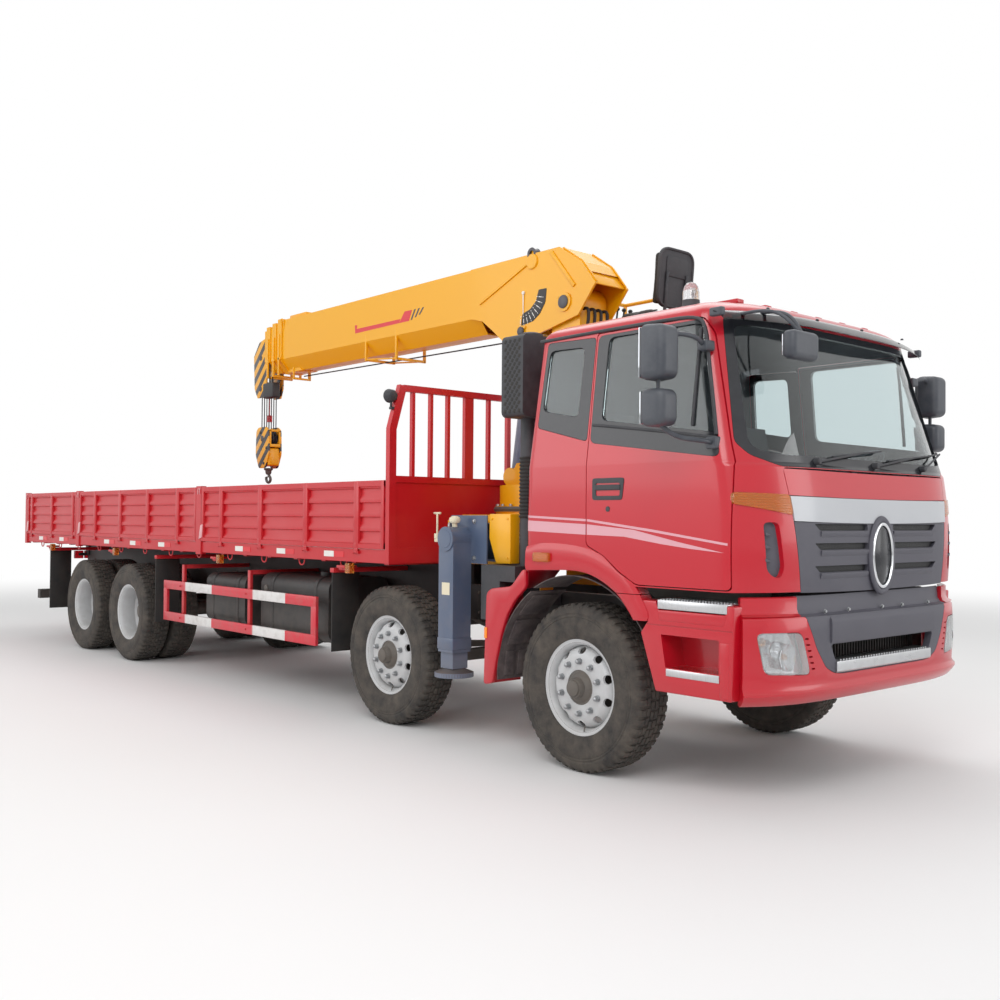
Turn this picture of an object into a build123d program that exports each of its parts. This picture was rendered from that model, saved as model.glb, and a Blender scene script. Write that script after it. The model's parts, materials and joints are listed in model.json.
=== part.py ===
"""Four-axle dropside lorry with a telescopic boom crane behind its cab.

Millimetres. X forward, Y left, Z up. The origin is on the ground, in the middle of the lorry.
Heights are above the ground. Places along the lorry are given from the first axle.
"""
import os
from math import atan2, cos, degrees, hypot, pi, radians, sin

from build123d import *

# Overall sizes
length_overall = 11980
width_overall = 2500
front_overhang = 1500
axle_gaps = (2100, 4910, 1345)

# Wheels
tyre_radius = 542
tyre_width = 300
rim_seat_radius = 286
rim_flange_radius = 307
rim_width = 240
steer_track = 2030
twin_track = 1860
twin_spacing = 335
kingpin_y = 870
kingpin_radius = 22
kingpin_half = 142
eye_half = 42
fit_gap = 0.3

# Chassis
frame_bottom = 800
frame_height = 280
frame_half_width = 430
flange_width = 80
frame_plate = 10
subframe_height = 170

# Cab
cab_width = 2490
cab_wall = 45
cab_bottom = 1175
arch_radius = 735
door_gap = 6
tilt_pin = (1390, 1075)

# Load bed
bed_front = -1976
bed_floor_rise = 120
bed_rail_height = 105
board_height = 545
board_thickness = 40
board_gap = 8
hinge_pin_radius = 6
hinge_barrel_radius = 11

# Crane
column_x = -1450
slew_rise = 400
boom_pivot = (-1110, 3320)
lift_lug = (-1790, 1970)
boom_lug = (-1600, 3150)
boom_root_half = 190
boom_wall = 8
section_step = 19
boom_stroke = 2900

axle_height = tyre_radius
axle_1 = length_overall / 2 - front_overhang
axle_offsets = [0]
for spacing in axle_gaps:
    axle_offsets.append(axle_offsets[-1] - spacing)
axles = [axle_1 + place for place in axle_offsets]
frame_top = frame_bottom + frame_height
subframe_top = frame_top + subframe_height
bed_floor_top = subframe_top + bed_floor_rise
slew_height = subframe_top + slew_rise
bed_half = width_overall / 2
rear_end = -length_overall / 2
sides = (("right", -1), ("left", 1))


def at(place):
    """X of a place given from the first axle."""
    return axle_1 + place


def block(x, y, z, mode=Mode.ADD):
    """A box between low and high values on each axis."""
    low = Vector(min(x), min(y), min(z))
    high = Vector(max(x), max(y), max(z))
    size = high - low
    with Locations(low + size * 0.5):
        Box(size.X, size.Y, size.Z, mode=mode)


def bar(start, end, radius, mode=Mode.ADD):
    """A round bar between two points."""
    start, end = Vector(start), Vector(end)
    with Locations(Plane(origin=start, z_dir=end - start)):
        Cylinder(radius, (end - start).length, align=(Align.CENTER, Align.CENTER, Align.MIN), mode=mode)


def side_plate(outline, y, mode=Mode.ADD):
    """An outline of (x, z) points made solid between two y values."""
    with BuildSketch(Plane.XZ.offset(-max(y))) as profile:
        with BuildLine():
            Polyline(*outline, close=True)
        make_face()
    extrude(profile.sketch, amount=max(y) - min(y), mode=mode)


def cross_plate(outline, x, mode=Mode.ADD):
    """An outline of (y, z) points made solid between two x values."""
    with BuildSketch(Plane.YZ.offset(min(x))) as profile:
        with BuildLine():
            Polyline(*outline, close=True)
        make_face()
    extrude(profile.sketch, amount=max(x) - min(x), mode=mode)


def flat_plate(outline, z, mode=Mode.ADD):
    """An outline of (x, y) points made solid between two heights."""
    with BuildSketch(Plane.XY.offset(min(z))) as profile:
        with BuildLine():
            Polyline(*outline, close=True)
        make_face()
    extrude(profile.sketch, amount=max(z) - min(z), mode=mode)


def turned(outline, x, z, mode=Mode.ADD):
    """An outline of (y, radius) points turned about the Y line through x, z."""
    with BuildSketch(Plane.YZ.offset(x)) as profile:
        with BuildLine():
            Polyline(*[(y, z + radius) for y, radius in outline], close=True)
        make_face()
    revolve(profile.sketch, axis=Axis((x, 0, z), (0, 1, 0)), mode=mode)


def moved(outline, dx=0, dz=0):
    """An outline given from the first axle, in the lorry's own frame."""
    return [(at(x) + dx, z + dz) for x, z in outline]


def save(builder, name):
    """Label a finished piece and write it to its own file."""
    builder.part.label = name
    export_step(builder.part, f"parts/{name}.step")


os.makedirs("parts", exist_ok=True)

# ---------------------------------------------------------------- chassis frame
frame_front = at(1180)
frame_rear = at(-10380)
frame_inner = frame_half_width - flange_width
with BuildPart() as chassis_frame:
    for side in (-1, 1):
        web = sorted((side * frame_half_width, side * (frame_half_width - frame_plate)))
        flange = sorted((side * frame_half_width, side * frame_inner))
        block((frame_rear, frame_front), web, (frame_bottom, frame_top))
        block((frame_rear, frame_front), flange, (frame_bottom, frame_bottom + frame_plate))
        block((frame_rear, frame_front), flange, (frame_top - frame_plate, frame_top))
        # timber-filled subframe under the load bed
        block((at(-10380), at(-1990)), flange, (frame_top, subframe_top))
    crossmember_reach = frame_half_width - frame_plate
    for place in (-10340, -9220, -8100, -6980, -5860, -4740, -3620, -2500, -1380, 1000):
        block((at(place), at(place + 70)), (-crossmember_reach, crossmember_reach),
              (frame_bottom + 100, frame_top - 60))
    # front member that carries the bumper and the cab's tilt pins
    block((frame_front - 60, frame_front), (-760, 760), (880, 1040))
    for side in (-1, 1):
        side_plate(moved([(1120, 900), (tilt_pin[0] + 10, tilt_pin[1] - 40), (tilt_pin[0] + 35, tilt_pin[1]),
                          (tilt_pin[0], tilt_pin[1] + 30), (1120, 1020)]), (side * 560, side * 590))
        bar((at(tilt_pin[0]), side * 505, tilt_pin[1]), (at(tilt_pin[0]), side * 595, tilt_pin[1]), 16)
    # rear lamp and underrun bar with its two arms
    block((at(-10300), at(-10200)), (-1130, 1130), (500, 620))
    for side in (-1, 1):
        block((at(-10290), at(-10210)), sorted((side * 350, side * 420)), (600, frame_bottom + 60))
save(chassis_frame, "chassis_frame")

# ---------------------------------------------------------------- axles and springs
spring_y = 400
beam_half = 50
with BuildPart() as suspension:
    for x in axles[:2]:
        # forged beam, dropped between the springs, with an eye at each kingpin
        cross_plate([(y, axle_height + z) for y, z in (
            (-kingpin_y, -eye_half), (-620, -eye_half), (-480, -102), (480, -102), (620, -eye_half),
            (kingpin_y, -eye_half), (kingpin_y, eye_half), (600, eye_half), (460, -12), (-460, -12),
            (-600, eye_half), (-kingpin_y, eye_half))], (x - 45, x + 45))
        for side in (-1, 1):
            bar((x, side * kingpin_y, axle_height - eye_half), (x, side * kingpin_y, axle_height + eye_half), 34)
            bar((x, side * kingpin_y, axle_height - kingpin_half), (x, side * kingpin_y, axle_height + kingpin_half),
                kingpin_radius)
            # parabolic leaf spring, its seat and its two hangers
            seat = sorted((side * (spring_y - 45), side * (spring_y + 45)))
            block((x - 90, x + 90), seat, (axle_height - 17, 560))
            side_plate([(x - 860, 700), (x - 500, 610), (x - 90, 560), (x + 90, 560), (x + 500, 610),
                        (x + 800, 700), (x + 800, 730), (x + 500, 650), (x + 90, 615), (x - 90, 615),
                        (x - 500, 650), (x - 860, 730)], seat)
            for hanger in (-860, 780):
                block((x + hanger, x + hanger + 30), seat, (700, frame_bottom))
    for x in axles[2:]:
        bar((x, -585, axle_height), (x, 585, axle_height), 75)
        for side in (-1, 1):
            bar((x, side * 585, axle_height), (x, side * 1040, axle_height), 60)
            # spring seat on the axle tube
            block((x - 60, x + 60), (side * 455, side * 560), (axle_height + 40, 630))
        with Locations((x, 0, axle_height)):
            Sphere(215)
        block((x - 250, x + 240), (-90, 90), (axle_height - 80, axle_height + 80))
    # tandem spring packs that rock on the trunnion between the rear axles
    trunnion = (axles[2] + axles[3]) / 2
    reach = axle_gaps[2] / 2
    bar((trunnion, -520, 470), (trunnion, 520, 470), 42)
    for side in (-1, 1):
        pack = sorted((side * 455, side * 560))
        side_plate([(trunnion - reach - 90, 615), (trunnion - 100, 640), (trunnion + 100, 640),
                    (trunnion + reach + 90, 615), (trunnion + reach + 90, 650), (trunnion + 250, 760),
                    (trunnion - 250, 760), (trunnion - reach - 90, 650)], pack)
        block((trunnion - 110, trunnion + 110), pack, (430, 645))
        side_plate([(trunnion - 240, frame_top - 60), (trunnion + 240, frame_top - 60), (trunnion + 90, 430),
                    (trunnion - 90, 430)], sorted((side * (frame_half_width + 0.3), side * 452)))
save(suspension, "axles_and_springs")

# ---------------------------------------------------------------- engine and driveline
with BuildPart() as drivetrain:
    block((at(-330), at(900)), (-330, 330), (640, 1490))
    block((at(-1120), at(-330)), (-230, 230), (640, frame_bottom + 90))
    shaft_joints = [(at(-1120), 0, 820), (at(-3900), 0, 780), (axles[2] + 245, 0, 580)]
    for start, end in zip(shaft_joints, shaft_joints[1:]):
        bar(start, end, 60)
    bar((axles[2] - 251, 0, 570), (axles[3] + 241, 0, 560), 40)
    block((at(-3960), at(-3860)), (-frame_inner + 1, frame_inner - 1), (811, 850))
    # engine mounts on the frame
    for x in (-200, 700):
        for side in (-1, 1):
            block((at(x), at(x + 120)), (side * 325, side * (frame_half_width - frame_plate)),
                  (frame_bottom + frame_plate, 880))
save(drivetrain, "engine_and_driveline")

# ---------------------------------------------------------------- tanks and boxes
tank_inner = frame_half_width + 20
with BuildPart() as tanks:
    # front and rear, bottom and top, outer face, side, corner radius
    for front, rear, bottom, top, outer, side, radius in (
            (-3030, -4200, 530, 1100, 1100, -1, 110),
            (-4550, -5360, 560, 1050, 1080, -1, 90),
            (-3100, -3900, 600, 1050, 1080, 1, 40),
            (-4200, -5300, 560, 1050, 1060, 1, 90)):
        y_mid = side * (outer + tank_inner + 20) / 2
        with BuildSketch(Plane.YZ.offset(at(rear))):
            with Locations((y_mid, (bottom + top) / 2)):
                RectangleRounded(outer - tank_inner - 20, top - bottom, radius)
        extrude(amount=front - rear)
        for share in (0.18, 0.82):
            x = at(rear + share * (front - rear))
            reach = sorted((side * (frame_half_width + 0.3), side * (tank_inner + 140)))
            block((x - 30, x + 30), reach, (bottom + 150, bottom + 190))
            block((x - 30, x + 30), sorted((side * (frame_half_width + 0.3), side * (tank_inner + 40))),
                  (frame_bottom + 20, frame_top - 20))
    # filler neck and cap
    bar((at(-3400), -880, 1080), (at(-3400), -880, 1135), 60)
save(tanks, "tanks")

# ---------------------------------------------------------------- bumper
bumper_front = length_overall / 2
bumper_plan = [(at(1200), bed_half - 5), (at(1300), bed_half - 5), (bumper_front - 55, 950), (bumper_front, 600)]
bumper_skin = 35


def mirrored(points):
    """Points and their mirror images across the lorry's centre plane."""
    return points + [(x, -y) for x, y in reversed(points)]


with BuildPart() as front_bumper:
    with BuildSketch(Plane.XY.offset(575)):
        with BuildLine():
            Polyline(*mirrored(bumper_plan), close=True)
        make_face()
    extrude(amount=1050 - 575)
    inner_plan = [(at(1100), bed_half - 5 - bumper_skin), (at(1290), bed_half - 5 - bumper_skin),
                  (bumper_front - 55 - bumper_skin, 930), (bumper_front - bumper_skin, 590)]
    flat_plate(mirrored(inner_plan), (575 + bumper_skin, 1100), mode=Mode.SUBTRACT)
    # air intake in the middle
    block((bumper_front - 120, bumper_front + 10), (-500, 500), (700, 830), mode=Mode.SUBTRACT)
    # brackets back to the frame's front member
    for side in (-1, 1):
        block((frame_front + fit_gap, bumper_front - bumper_skin + 1), sorted((side * 640, side * 700)), (890, 960))
save(front_bumper, "front_bumper")

# ---------------------------------------------------------------- guards
guard_low = 525
guard_top = 945
guard_rail = 90
guard_front = -3060
guard_rear = -6100
with BuildPart() as guards:
    for side in (-1, 1):
        outer = side * (bed_half - 5)
        inner = side * 880
        # moulded guard behind each front wheel
        side_plate([(at(-400), 1268), (at(-600), 1150), (at(-790), 1130), (at(-810), 480), (at(-400), 480)],
                   (outer, inner))
        bar((at(0), side * 800, axle_height), (at(0), side * 1300, axle_height), 690, mode=Mode.SUBTRACT)
        block((at(-790), at(-300)), (side * (bed_half - 30), side * 870), (470, 1110), mode=Mode.SUBTRACT)
        block((at(-800), at(-770)), (side * frame_half_width, side * 900), (820, 900))
        # side guard: two rails, two end posts and two hangers up to the frame
        face = (side * 1180, side * 1210)
        block((at(guard_rear), at(guard_front)), face, (guard_low, guard_low + guard_rail))
        block((at(guard_rear), at(guard_front)), face, (guard_top - guard_rail, guard_top))
        for x in (guard_rear, guard_front - 80):
            block((at(x), at(x + 80)), face, (guard_low, guard_top))
        for x in (-5700, -4290):
            block((at(x - 25), at(x + 25)), (side * 1150, side * 1180), (guard_low, 1120))
            block((at(x - 25), at(x + 25)), (side * frame_half_width, side * 1180), (1080, 1120))
        # rear flaps behind the last wheels
        block((at(-9630), at(-9610)), (side * 930, side * 1200), (410, 1180))
        block((at(-9660), at(-9600)), (side * frame_half_width, side * 1200), (1180, 1220))
        # flap ahead of the third axle, hung from the subframe
        block((at(-6340), at(-6325)), (side * 930, side * 1200), (480, 1180))
        block((at(-6350), at(-6310)), (side * frame_half_width, side * 1200), (1180, 1220))
        # steps under each door, open to the outside
        step_outer = side * (bed_half - 5)
        side_plate([(at(600), 1160), (at(650), 620), (at(1190), 620), (at(1190), 1160)],
                   (step_outer, side * 900))
        for low, top, depth in ((660, 900, 200), (940, 1120, 150)):
            block((at(720), at(1150)), (step_outer, step_outer - side * depth), (low, top), mode=Mode.SUBTRACT)
        block((at(640), at(1000)), (side * frame_half_width, side * 905), (840, 900))
save(guards, "wheel_guards_and_steps")

# ---------------------------------------------------------------- load bed
rail_bottom = bed_floor_top - bed_rail_height
rail_outer = bed_half - 15
post_rows = (("rear", -10440, 80), ("post_a", -8530, 100), ("post_b", -5215, 110), ("front", -1975, 70))
hinge_y = bed_half - 2.5
hinge_z = bed_floor_top - 25
bed_rear = at(-10420)
board_rows = (("rear", -10400, -8580, (-10237, -9465, -8711)),
              ("middle", -8480, -5270, (-7974, -7221, -6465, -5714)),
              ("front", -5160, -2010, (-4743, -3977, -3184, -2402)))
with BuildPart() as bed_base:
    bed_nose = at(bed_front - 25) - fit_gap
    block((bed_rear, bed_nose), (-1190, 1190), (bed_floor_top - 40, bed_floor_top))
    for x in range(19):
        start = bed_rear + 40 + x * 460
        block((start, start + 60), (-1180, 1180), (subframe_top + 0.3, bed_floor_top - 40))
    for side in (-1, 1):
        block((bed_rear, bed_nose), (side * 1180, side * rail_outer), (rail_bottom, bed_floor_top))
        for name, x, width in post_rows:
            if name != "front":
                block((at(x) - width / 2, at(x) + width / 2), (side * (rail_outer - 40), side * bed_half),
                      (rail_bottom - 20, bed_floor_top + board_height + 10))
        for name, rear, front, ribs in board_rows:
            for x in ribs:
                # fixed ears and pin of one board hinge
                for ear in (-42, 28):
                    block((at(x) + ear, at(x) + ear + 14), (side * (rail_outer - 5), side * (hinge_y + 9)),
                          (hinge_z - 13, hinge_z + 9))
                bar((at(x) - 42, side * hinge_y, hinge_z), (at(x) + 42, side * hinge_y, hinge_z), hinge_pin_radius)
    # hinge ears and pins of the tailgate
    tail_pin = (bed_rear - 47.5, hinge_z)
    block((bed_rear - 35, bed_rear), (-1190, 1190), (rail_bottom, bed_floor_top))
    for y in (-900, -300, 300, 900):
        for ear in (-42, 28):
            block((tail_pin[0] - 9, bed_rear - 30), (y + ear, y + ear + 14), (hinge_z - 13, hinge_z + 9))
        bar((tail_pin[0], y - 42, hinge_z), (tail_pin[0], y + 42, hinge_z), hinge_pin_radius)
save(bed_base, "bed_base")


def board(low, high, ribs, name):
    """A ribbed drop board, made upright along X on the right side with its outer face at -bed_half."""
    bottom = bed_floor_top + 5
    top = bed_floor_top + board_height
    with BuildPart() as panel:
        skin = (-(bed_half - board_thickness), -(bed_half - board_thickness + 14))
        block((low, high), skin, (bottom, top))
        block((low, high), (-(bed_half - board_thickness), -bed_half), (top - 45, top))
        block((low, high), (-(bed_half - board_thickness), -bed_half), (bottom, bottom + 40))
        for end in (low, high - 40):
            block((end, end + 40), (-(bed_half - board_thickness), -bed_half), (bottom, top))
        rows = 4
        pitch = (top - 45 - bottom - 40) / rows
        for row in range(1, rows):
            z = bottom + 40 + row * pitch
            block((low, high), (-(bed_half - board_thickness), -(bed_half - 12)), (z - 18, z + 18))
        for x in ribs:
            block((x - 30, x + 30), (-(bed_half - board_thickness), -bed_half), (bottom, top))
            # hinge knuckle under the rib
            block((x - 25, x + 25), (-(hinge_y - 6), -(hinge_y + 2.5)), (hinge_z, bottom + 2))
            bar((x - 25, -hinge_y, hinge_z), (x + 25, -hinge_y, hinge_z), hinge_barrel_radius)
            bar((x - 26, -hinge_y, hinge_z), (x + 26, -hinge_y, hinge_z), hinge_pin_radius + fit_gap,
                mode=Mode.SUBTRACT)
    return panel


for name, rear, front, ribs in board_rows:
    rear_x = at(rear) + board_gap
    front_x = at(front) - board_gap
    rib_x = [at(x) for x in ribs]
    right = board(rear_x, front_x, rib_x, name)
    save(right, f"right_board_{name}")
    with BuildPart() as left:
        add(right.part)
        mirror(about=Plane.XZ, mode=Mode.REPLACE)
    save(left, f"left_board_{name}")

tail_reach = bed_half - 65
tail = board(-tail_reach, tail_reach, (-900, -300, 300, 900), "tail")
with BuildPart() as tailgate:
    # the board is made along X, then swung round to close the rear of the bed
    with Locations(Location((tail_pin[0] + hinge_y, 0, 0), (0, 0, -90))):
        add(tail.part)
save(tailgate, "tailgate")

# ---------------------------------------------------------------- headboard
with BuildPart() as headboard:
    face = (at(bed_front + 25), at(bed_front - 25))
    block((at(bed_front + 12), at(bed_front - 12)), (-1190, 1190), (bed_floor_top, 1930))
    block(face, (-1190, 1190), (1900, 1950))
    for side in (-1, 1):
        cross_plate([(side * (bed_half - 5), rail_bottom), (side * (bed_half - 5), 2320), (side * 1146, 2665),
                     (side * 1086, 2640), (side * 1180, 2310), (side * 1180, rail_bottom)], face)
    block(face, (-1110, 1110), (2615, 2665))
    for y, half in ((0, 20), (220, 14), (440, 45), (655, 14), (830, 14), (1010, 14)):
        for side in ((-1, 1) if y else (1,)):
            block((at(bed_front) - 18, at(bed_front) + 18), (side * y - half, side * y + half), (1940, 2630))
    block((at(bed_front - 20), at(bed_front + 20)), (-1190, 1190), (rail_bottom, bed_floor_top + 20))
save(headboard, "headboard")

# ---------------------------------------------------------------- crane base
beam_rows = (("right", -1, -1420), ("left", 1, -1170))
beam_half_width = 110
beam_low, beam_top = subframe_top + 60, slew_height - 60
housing_wall = 10
beam_gap = 6
with BuildPart() as crane_base:
    block((at(-1600), at(-1060)), (-800, 800), (subframe_top + 25, slew_height))
    for name, side, x in beam_rows:
        low = at(x) - beam_half_width - beam_gap - housing_wall
        high = at(x) + beam_half_width + beam_gap + housing_wall
        block((low, high), (0, side * 985), (beam_low - beam_gap - housing_wall, beam_top + beam_gap + housing_wall))
    for name, side, x in beam_rows:
        block((at(x) - beam_half_width - beam_gap, at(x) + beam_half_width + beam_gap), (-1000, 1000),
              (beam_low - beam_gap, beam_top + beam_gap), mode=Mode.SUBTRACT)
    # deck ring under the slewing ring
    bar((at(column_x), 0, slew_height - 30), (at(column_x), 0, slew_height + 25), 440)
    # feet down to the frame, one pair each side, tied by long bolts in the real lorry
    for side in (-1, 1):
        block((at(-1600), at(-1060)), (side * (frame_half_width - 90), side * (frame_half_width + 40)),
              (frame_top + fit_gap, subframe_top + 40))
save(crane_base, "crane_base")

for name, side, x in beam_rows:
    leg_x = at(-1335 if side < 0 else -1170)
    leg_y = side * 1085
    with BuildPart() as beam:
        block((at(x) - beam_half_width, at(x) + beam_half_width), (side * -880, side * 990), (beam_low, beam_top))
        block((at(x) - beam_half_width + 10, at(x) + beam_half_width - 10), (side * -890, side * 980),
              (beam_low + 10, beam_top - 10), mode=Mode.SUBTRACT)
        # wear pads that ride in the housing
        for y in (side * -860, side * 700):
            block((at(x) - beam_half_width - beam_gap + fit_gap, at(x) + beam_half_width + beam_gap - fit_gap),
                  (y - 20, y + 20), (beam_low - beam_gap + fit_gap, beam_low))
        # end plate and the leg's outer tube
        block((leg_x - 150, leg_x + 260 if side < 0 else leg_x + 150), (side * 990, side * 1001), (1290, 1645))
        block((leg_x - 85, leg_x + 85), (side * 1000, side * (1085 + 85)), (640, 1500))
        bar((leg_x, side * 1000, 1470), (leg_x, side * 1180, 1470), 90)
        block((leg_x - 75, leg_x + 75), (side * (1085 - 75), side * (1085 + 75)), (600, 1440), mode=Mode.SUBTRACT)
    save(beam, f"outrigger_beam_{name}")
    with BuildPart() as foot:
        block((leg_x - 70, leg_x + 70), (leg_y - 70, leg_y + 70), (520, 1390))
        bar((leg_x, leg_y, 458), (leg_x, leg_y, 490), 145)
        with Locations((leg_x, leg_y, 505)):
            Cone(145, 60, 30)
        for z in (700, 1340):
            block((leg_x - 75 + fit_gap, leg_x + 75 - fit_gap), (leg_y - 60, leg_y + 60), (z - 20, z + 20))
    save(foot, f"outrigger_foot_{name}")

# ---------------------------------------------------------------- crane column
pivot_x, pivot_z = at(boom_pivot[0]), boom_pivot[1]
lug_x, lug_z = at(lift_lug[0]), lift_lug[1]
head_half = 150
with BuildPart() as crane_column:
    bar((at(column_x), 0, slew_height + 25.3), (at(column_x), 0, slew_height + 70), 450)
    bar((at(column_x), 0, slew_height + 70), (at(column_x), 0, 1890), 410)
    # leaning tower, wide at the foot and narrow at the boom's root
    side_plate(moved([(-1620, 1880), (-1080, 1880), (-960, 2950), (-1330, 2950)]), (-180, 180))
    side_plate(moved([(-1335, 2900), (-965, 2900), (-985, 3320), (-1240, 3320)]), (-head_half, head_half))
    bar((pivot_x, -head_half, pivot_z), (pivot_x, head_half, pivot_z), 130)
    bar((pivot_x, -head_half - 60, pivot_z), (pivot_x, head_half + 60, pivot_z), 45)
    # two cheeks that hold the lift cylinder's foot
    for side in (-1, 1):
        cheek = (side * 105, side * 145)
        side_plate(moved([(-1840, 1880), (-1600, 1880), (-1600, 2080), (-1700, 2080)]), cheek)
        bar((lug_x, side * 105, lug_z), (lug_x, side * 145, lug_z), 75)
    bar((lug_x, -145, lug_z), (lug_x, 145, lug_z), 32)
    # arm and platform of the top seat
    block((at(-1300), at(-1100)), (head_half - 10, 420), (2960, 3040))
    block((at(-1500), at(-700)), (400, 950), (3010, 3040))
    for x, y in ((-1490, 940), (-710, 940), (-1490, 410)):
        bar((at(x), y, 3030), (at(x), y, 3500), 16)
    bar((at(-1490), 940, 3500), (at(-710), 940, 3500), 16)
    bar((at(-1490), 410, 3500), (at(-1490), 940, 3500), 16)
save(crane_column, "crane_column")

with BuildPart() as operator_seat:
    block((at(-1150), at(-700)), (430, 880), (3200, 3310))
    side_plate(moved([(-760, 3310), (-690, 3300), (-640, 3820), (-740, 3820)]), (440, 870))
    bar((at(-930), 655, 3040 + fit_gap), (at(-930), 655, 3200), 60)
save(operator_seat, "operator_seat")


# ---------------------------------------------------------------- boom
def boom_outline(inset):
    """Boom section, straight sides over a narrow keel, as (y, z) points."""
    half = 175 - inset
    return [(-half, 3765 - inset), (half, 3765 - inset), (half, 3340 + inset * 0.4), (80 - inset * 0.4, 3205 + inset),
            (-(80 - inset * 0.4), 3205 + inset), (-half, 3340 + inset * 0.4)]


boom_front = at(-5480)
with BuildPart() as boom_base:
    cross_plate(boom_outline(0), (boom_front, at(-2150)))
    # root: deep side plates down to the knee, open below and behind
    root = [(-2260, 3765), (-1170, 3765), (-930, 3610), (-780, 3420), (-960, 3200), (-1290, 3130), (-1700, 3055),
            (-1800, 3070), (-1950, 3190), (-2100, 3300), (-2260, 3340)]
    side_plate(moved(root), (-boom_root_half, boom_root_half))
    side_plate(moved([(-2140, 3757), (-1190, 3757), (-960, 3590), (-700, 3420), (-900, 3000), (-2140, 3000)]),
               (-boom_root_half + 20, boom_root_half - 20), mode=Mode.SUBTRACT)
    cross_plate(boom_outline(boom_wall), (boom_front - 10, at(-2140)), mode=Mode.SUBTRACT)
    # front collar that carries the wear pads
    cross_plate(boom_outline(-14), (boom_front - 70, boom_front + 10))
    cross_plate(boom_outline(section_step - 0.5), (boom_front - 80, boom_front + 60), mode=Mode.SUBTRACT)
    # root pin bosses and the rod's pin bosses
    for side in (-1, 1):
        face = (side * (boom_root_half - 20), side * (boom_root_half + 12))
        bar((pivot_x, face[0], pivot_z), (pivot_x, face[1], pivot_z), 75)
        bar((pivot_x, side * 100, pivot_z), (pivot_x, side * 300, pivot_z), 45 + fit_gap, mode=Mode.SUBTRACT)
        rod_pin = (at(boom_lug[0]), boom_lug[1])
        bar((rod_pin[0], side * 75, rod_pin[1]), (rod_pin[0], side * (boom_root_half - 10), rod_pin[1]), 60)
save(boom_base, "boom_base")

section_rows = (("boom_section_2", 1, at(-1900), boom_front - 170), ("boom_section_3", 2, at(-2000), boom_front - 330))
for name, number, tail_x, nose_x in section_rows:
    inset = number * section_step
    with BuildPart() as section:
        cross_plate(boom_outline(inset), (nose_x, tail_x - 300))
        cross_plate(boom_outline(inset + boom_wall), (nose_x - 10, tail_x + 10), mode=Mode.SUBTRACT)
        cross_plate(boom_outline(inset - 10), (nose_x - 60, nose_x + 20))
        cross_plate(boom_outline(inset + section_step - 0.5), (nose_x - 70, nose_x + 60), mode=Mode.SUBTRACT)
    save(section, name)

tip_x = boom_front - 480
sheave_x, sheave_z = at(-6060), 3070
with BuildPart() as boom_tip:
    inset = 3 * section_step
    cross_plate(boom_outline(inset), (tip_x, at(-2500)))
    cross_plate(boom_outline(inset + boom_wall), (tip_x - 10, at(-2490)), mode=Mode.SUBTRACT)
    head = [(-5930, 3640), (-6100, 3600), (-6222, 3450), (-6200, 3080), (-6130, 2970), (-5980, 2970), (-5930, 3080)]
    for side in (-1, 1):
        side_plate(moved(head), (side * 95, side * 110))
    bar((sheave_x, -112, sheave_z), (sheave_x, 112, sheave_z), 25)
    bar((sheave_x, -60, 3420), (sheave_x, 60, 3420), 95)
    bar((sheave_x, -112, 3420), (sheave_x, 112, 3420), 25)
save(boom_tip, "boom_tip")

with BuildPart() as hook_block:
    # sheave carrier on the head's lower pin, four rope falls and the block
    for y in (-45, -15, 15, 45):
        bar((sheave_x, y - 10, sheave_z), (sheave_x, y + 10, sheave_z), 85)
    bar((sheave_x, -70, sheave_z), (sheave_x, 70, sheave_z), 40)
    bar((sheave_x, -90, sheave_z), (sheave_x, 90, sheave_z), 25 + fit_gap, mode=Mode.SUBTRACT)
    for y in (-45, -15, 15, 45):
        for dx in (-79, 79):
            bar((sheave_x + dx, y, 2580), (sheave_x + dx, y, sheave_z), 6)
    side_plate([(sheave_x - 150, 2640), (sheave_x + 150, 2640), (sheave_x + 150, 2300), (sheave_x + 60, 2170),
                (sheave_x - 60, 2170), (sheave_x - 150, 2300)], (-85, 85))
    bar((sheave_x, 0, 2110), (sheave_x, 0, 2180), 32)
    with BuildSketch(Plane.XZ.offset(-25)) as hook_face:
        with Locations((sheave_x, 2075)):
            Circle(70)
            with Locations((10, 5)):
                Circle(38, mode=Mode.SUBTRACT)
        with Locations((sheave_x + 60, 2120)):
            Rectangle(70, 60, mode=Mode.SUBTRACT)
    extrude(hook_face.sketch, amount=50)
save(hook_block, "hook_block")

# ---------------------------------------------------------------- lift cylinder
foot = Vector(lug_x, 0, lug_z)
head_pin = Vector(at(boom_lug[0]), 0, boom_lug[1])
direction = (head_pin - foot).normalized()
rod_radius = 55
with BuildPart() as lift_barrel:
    bar((lug_x, -100, lug_z), (lug_x, 100, lug_z), 70)
    bar(foot, foot + direction * 950, 95)
    bar((lug_x, -110, lug_z), (lug_x, 110, lug_z), 32 + fit_gap, mode=Mode.SUBTRACT)
    bar(foot + direction * 160, foot + direction * 960, rod_radius + fit_gap, mode=Mode.SUBTRACT)
save(lift_barrel, "lift_cylinder_barrel")
with BuildPart() as lift_rod:
    bar(foot + direction * 180, head_pin - direction * 40, rod_radius)
    bar((head_pin.X, -65, head_pin.Z), (head_pin.X, 65, head_pin.Z), 70)
save(lift_rod, "lift_cylinder_rod")

# ---------------------------------------------------------------- air intake behind the cab
with BuildPart() as air_intake:
    block((at(-800), at(-580)), (-1110, -760), (2330, 2900))
    fillet(air_intake.edges().filter_by(Axis.X), 40)
    bar((at(-740), -900, 1290), (at(-740), -900, 2335), 60)
    block((at(-1040), at(-680)), (-1080, -700), (1180, 1290))
    block((at(-1040), at(-840)), (-1080, -700), (900, 1290))
    block((at(-1000), at(-880)), (-705, -(frame_half_width + fit_gap)), (980, frame_top - 20))
save(air_intake, "air_intake")

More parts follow.
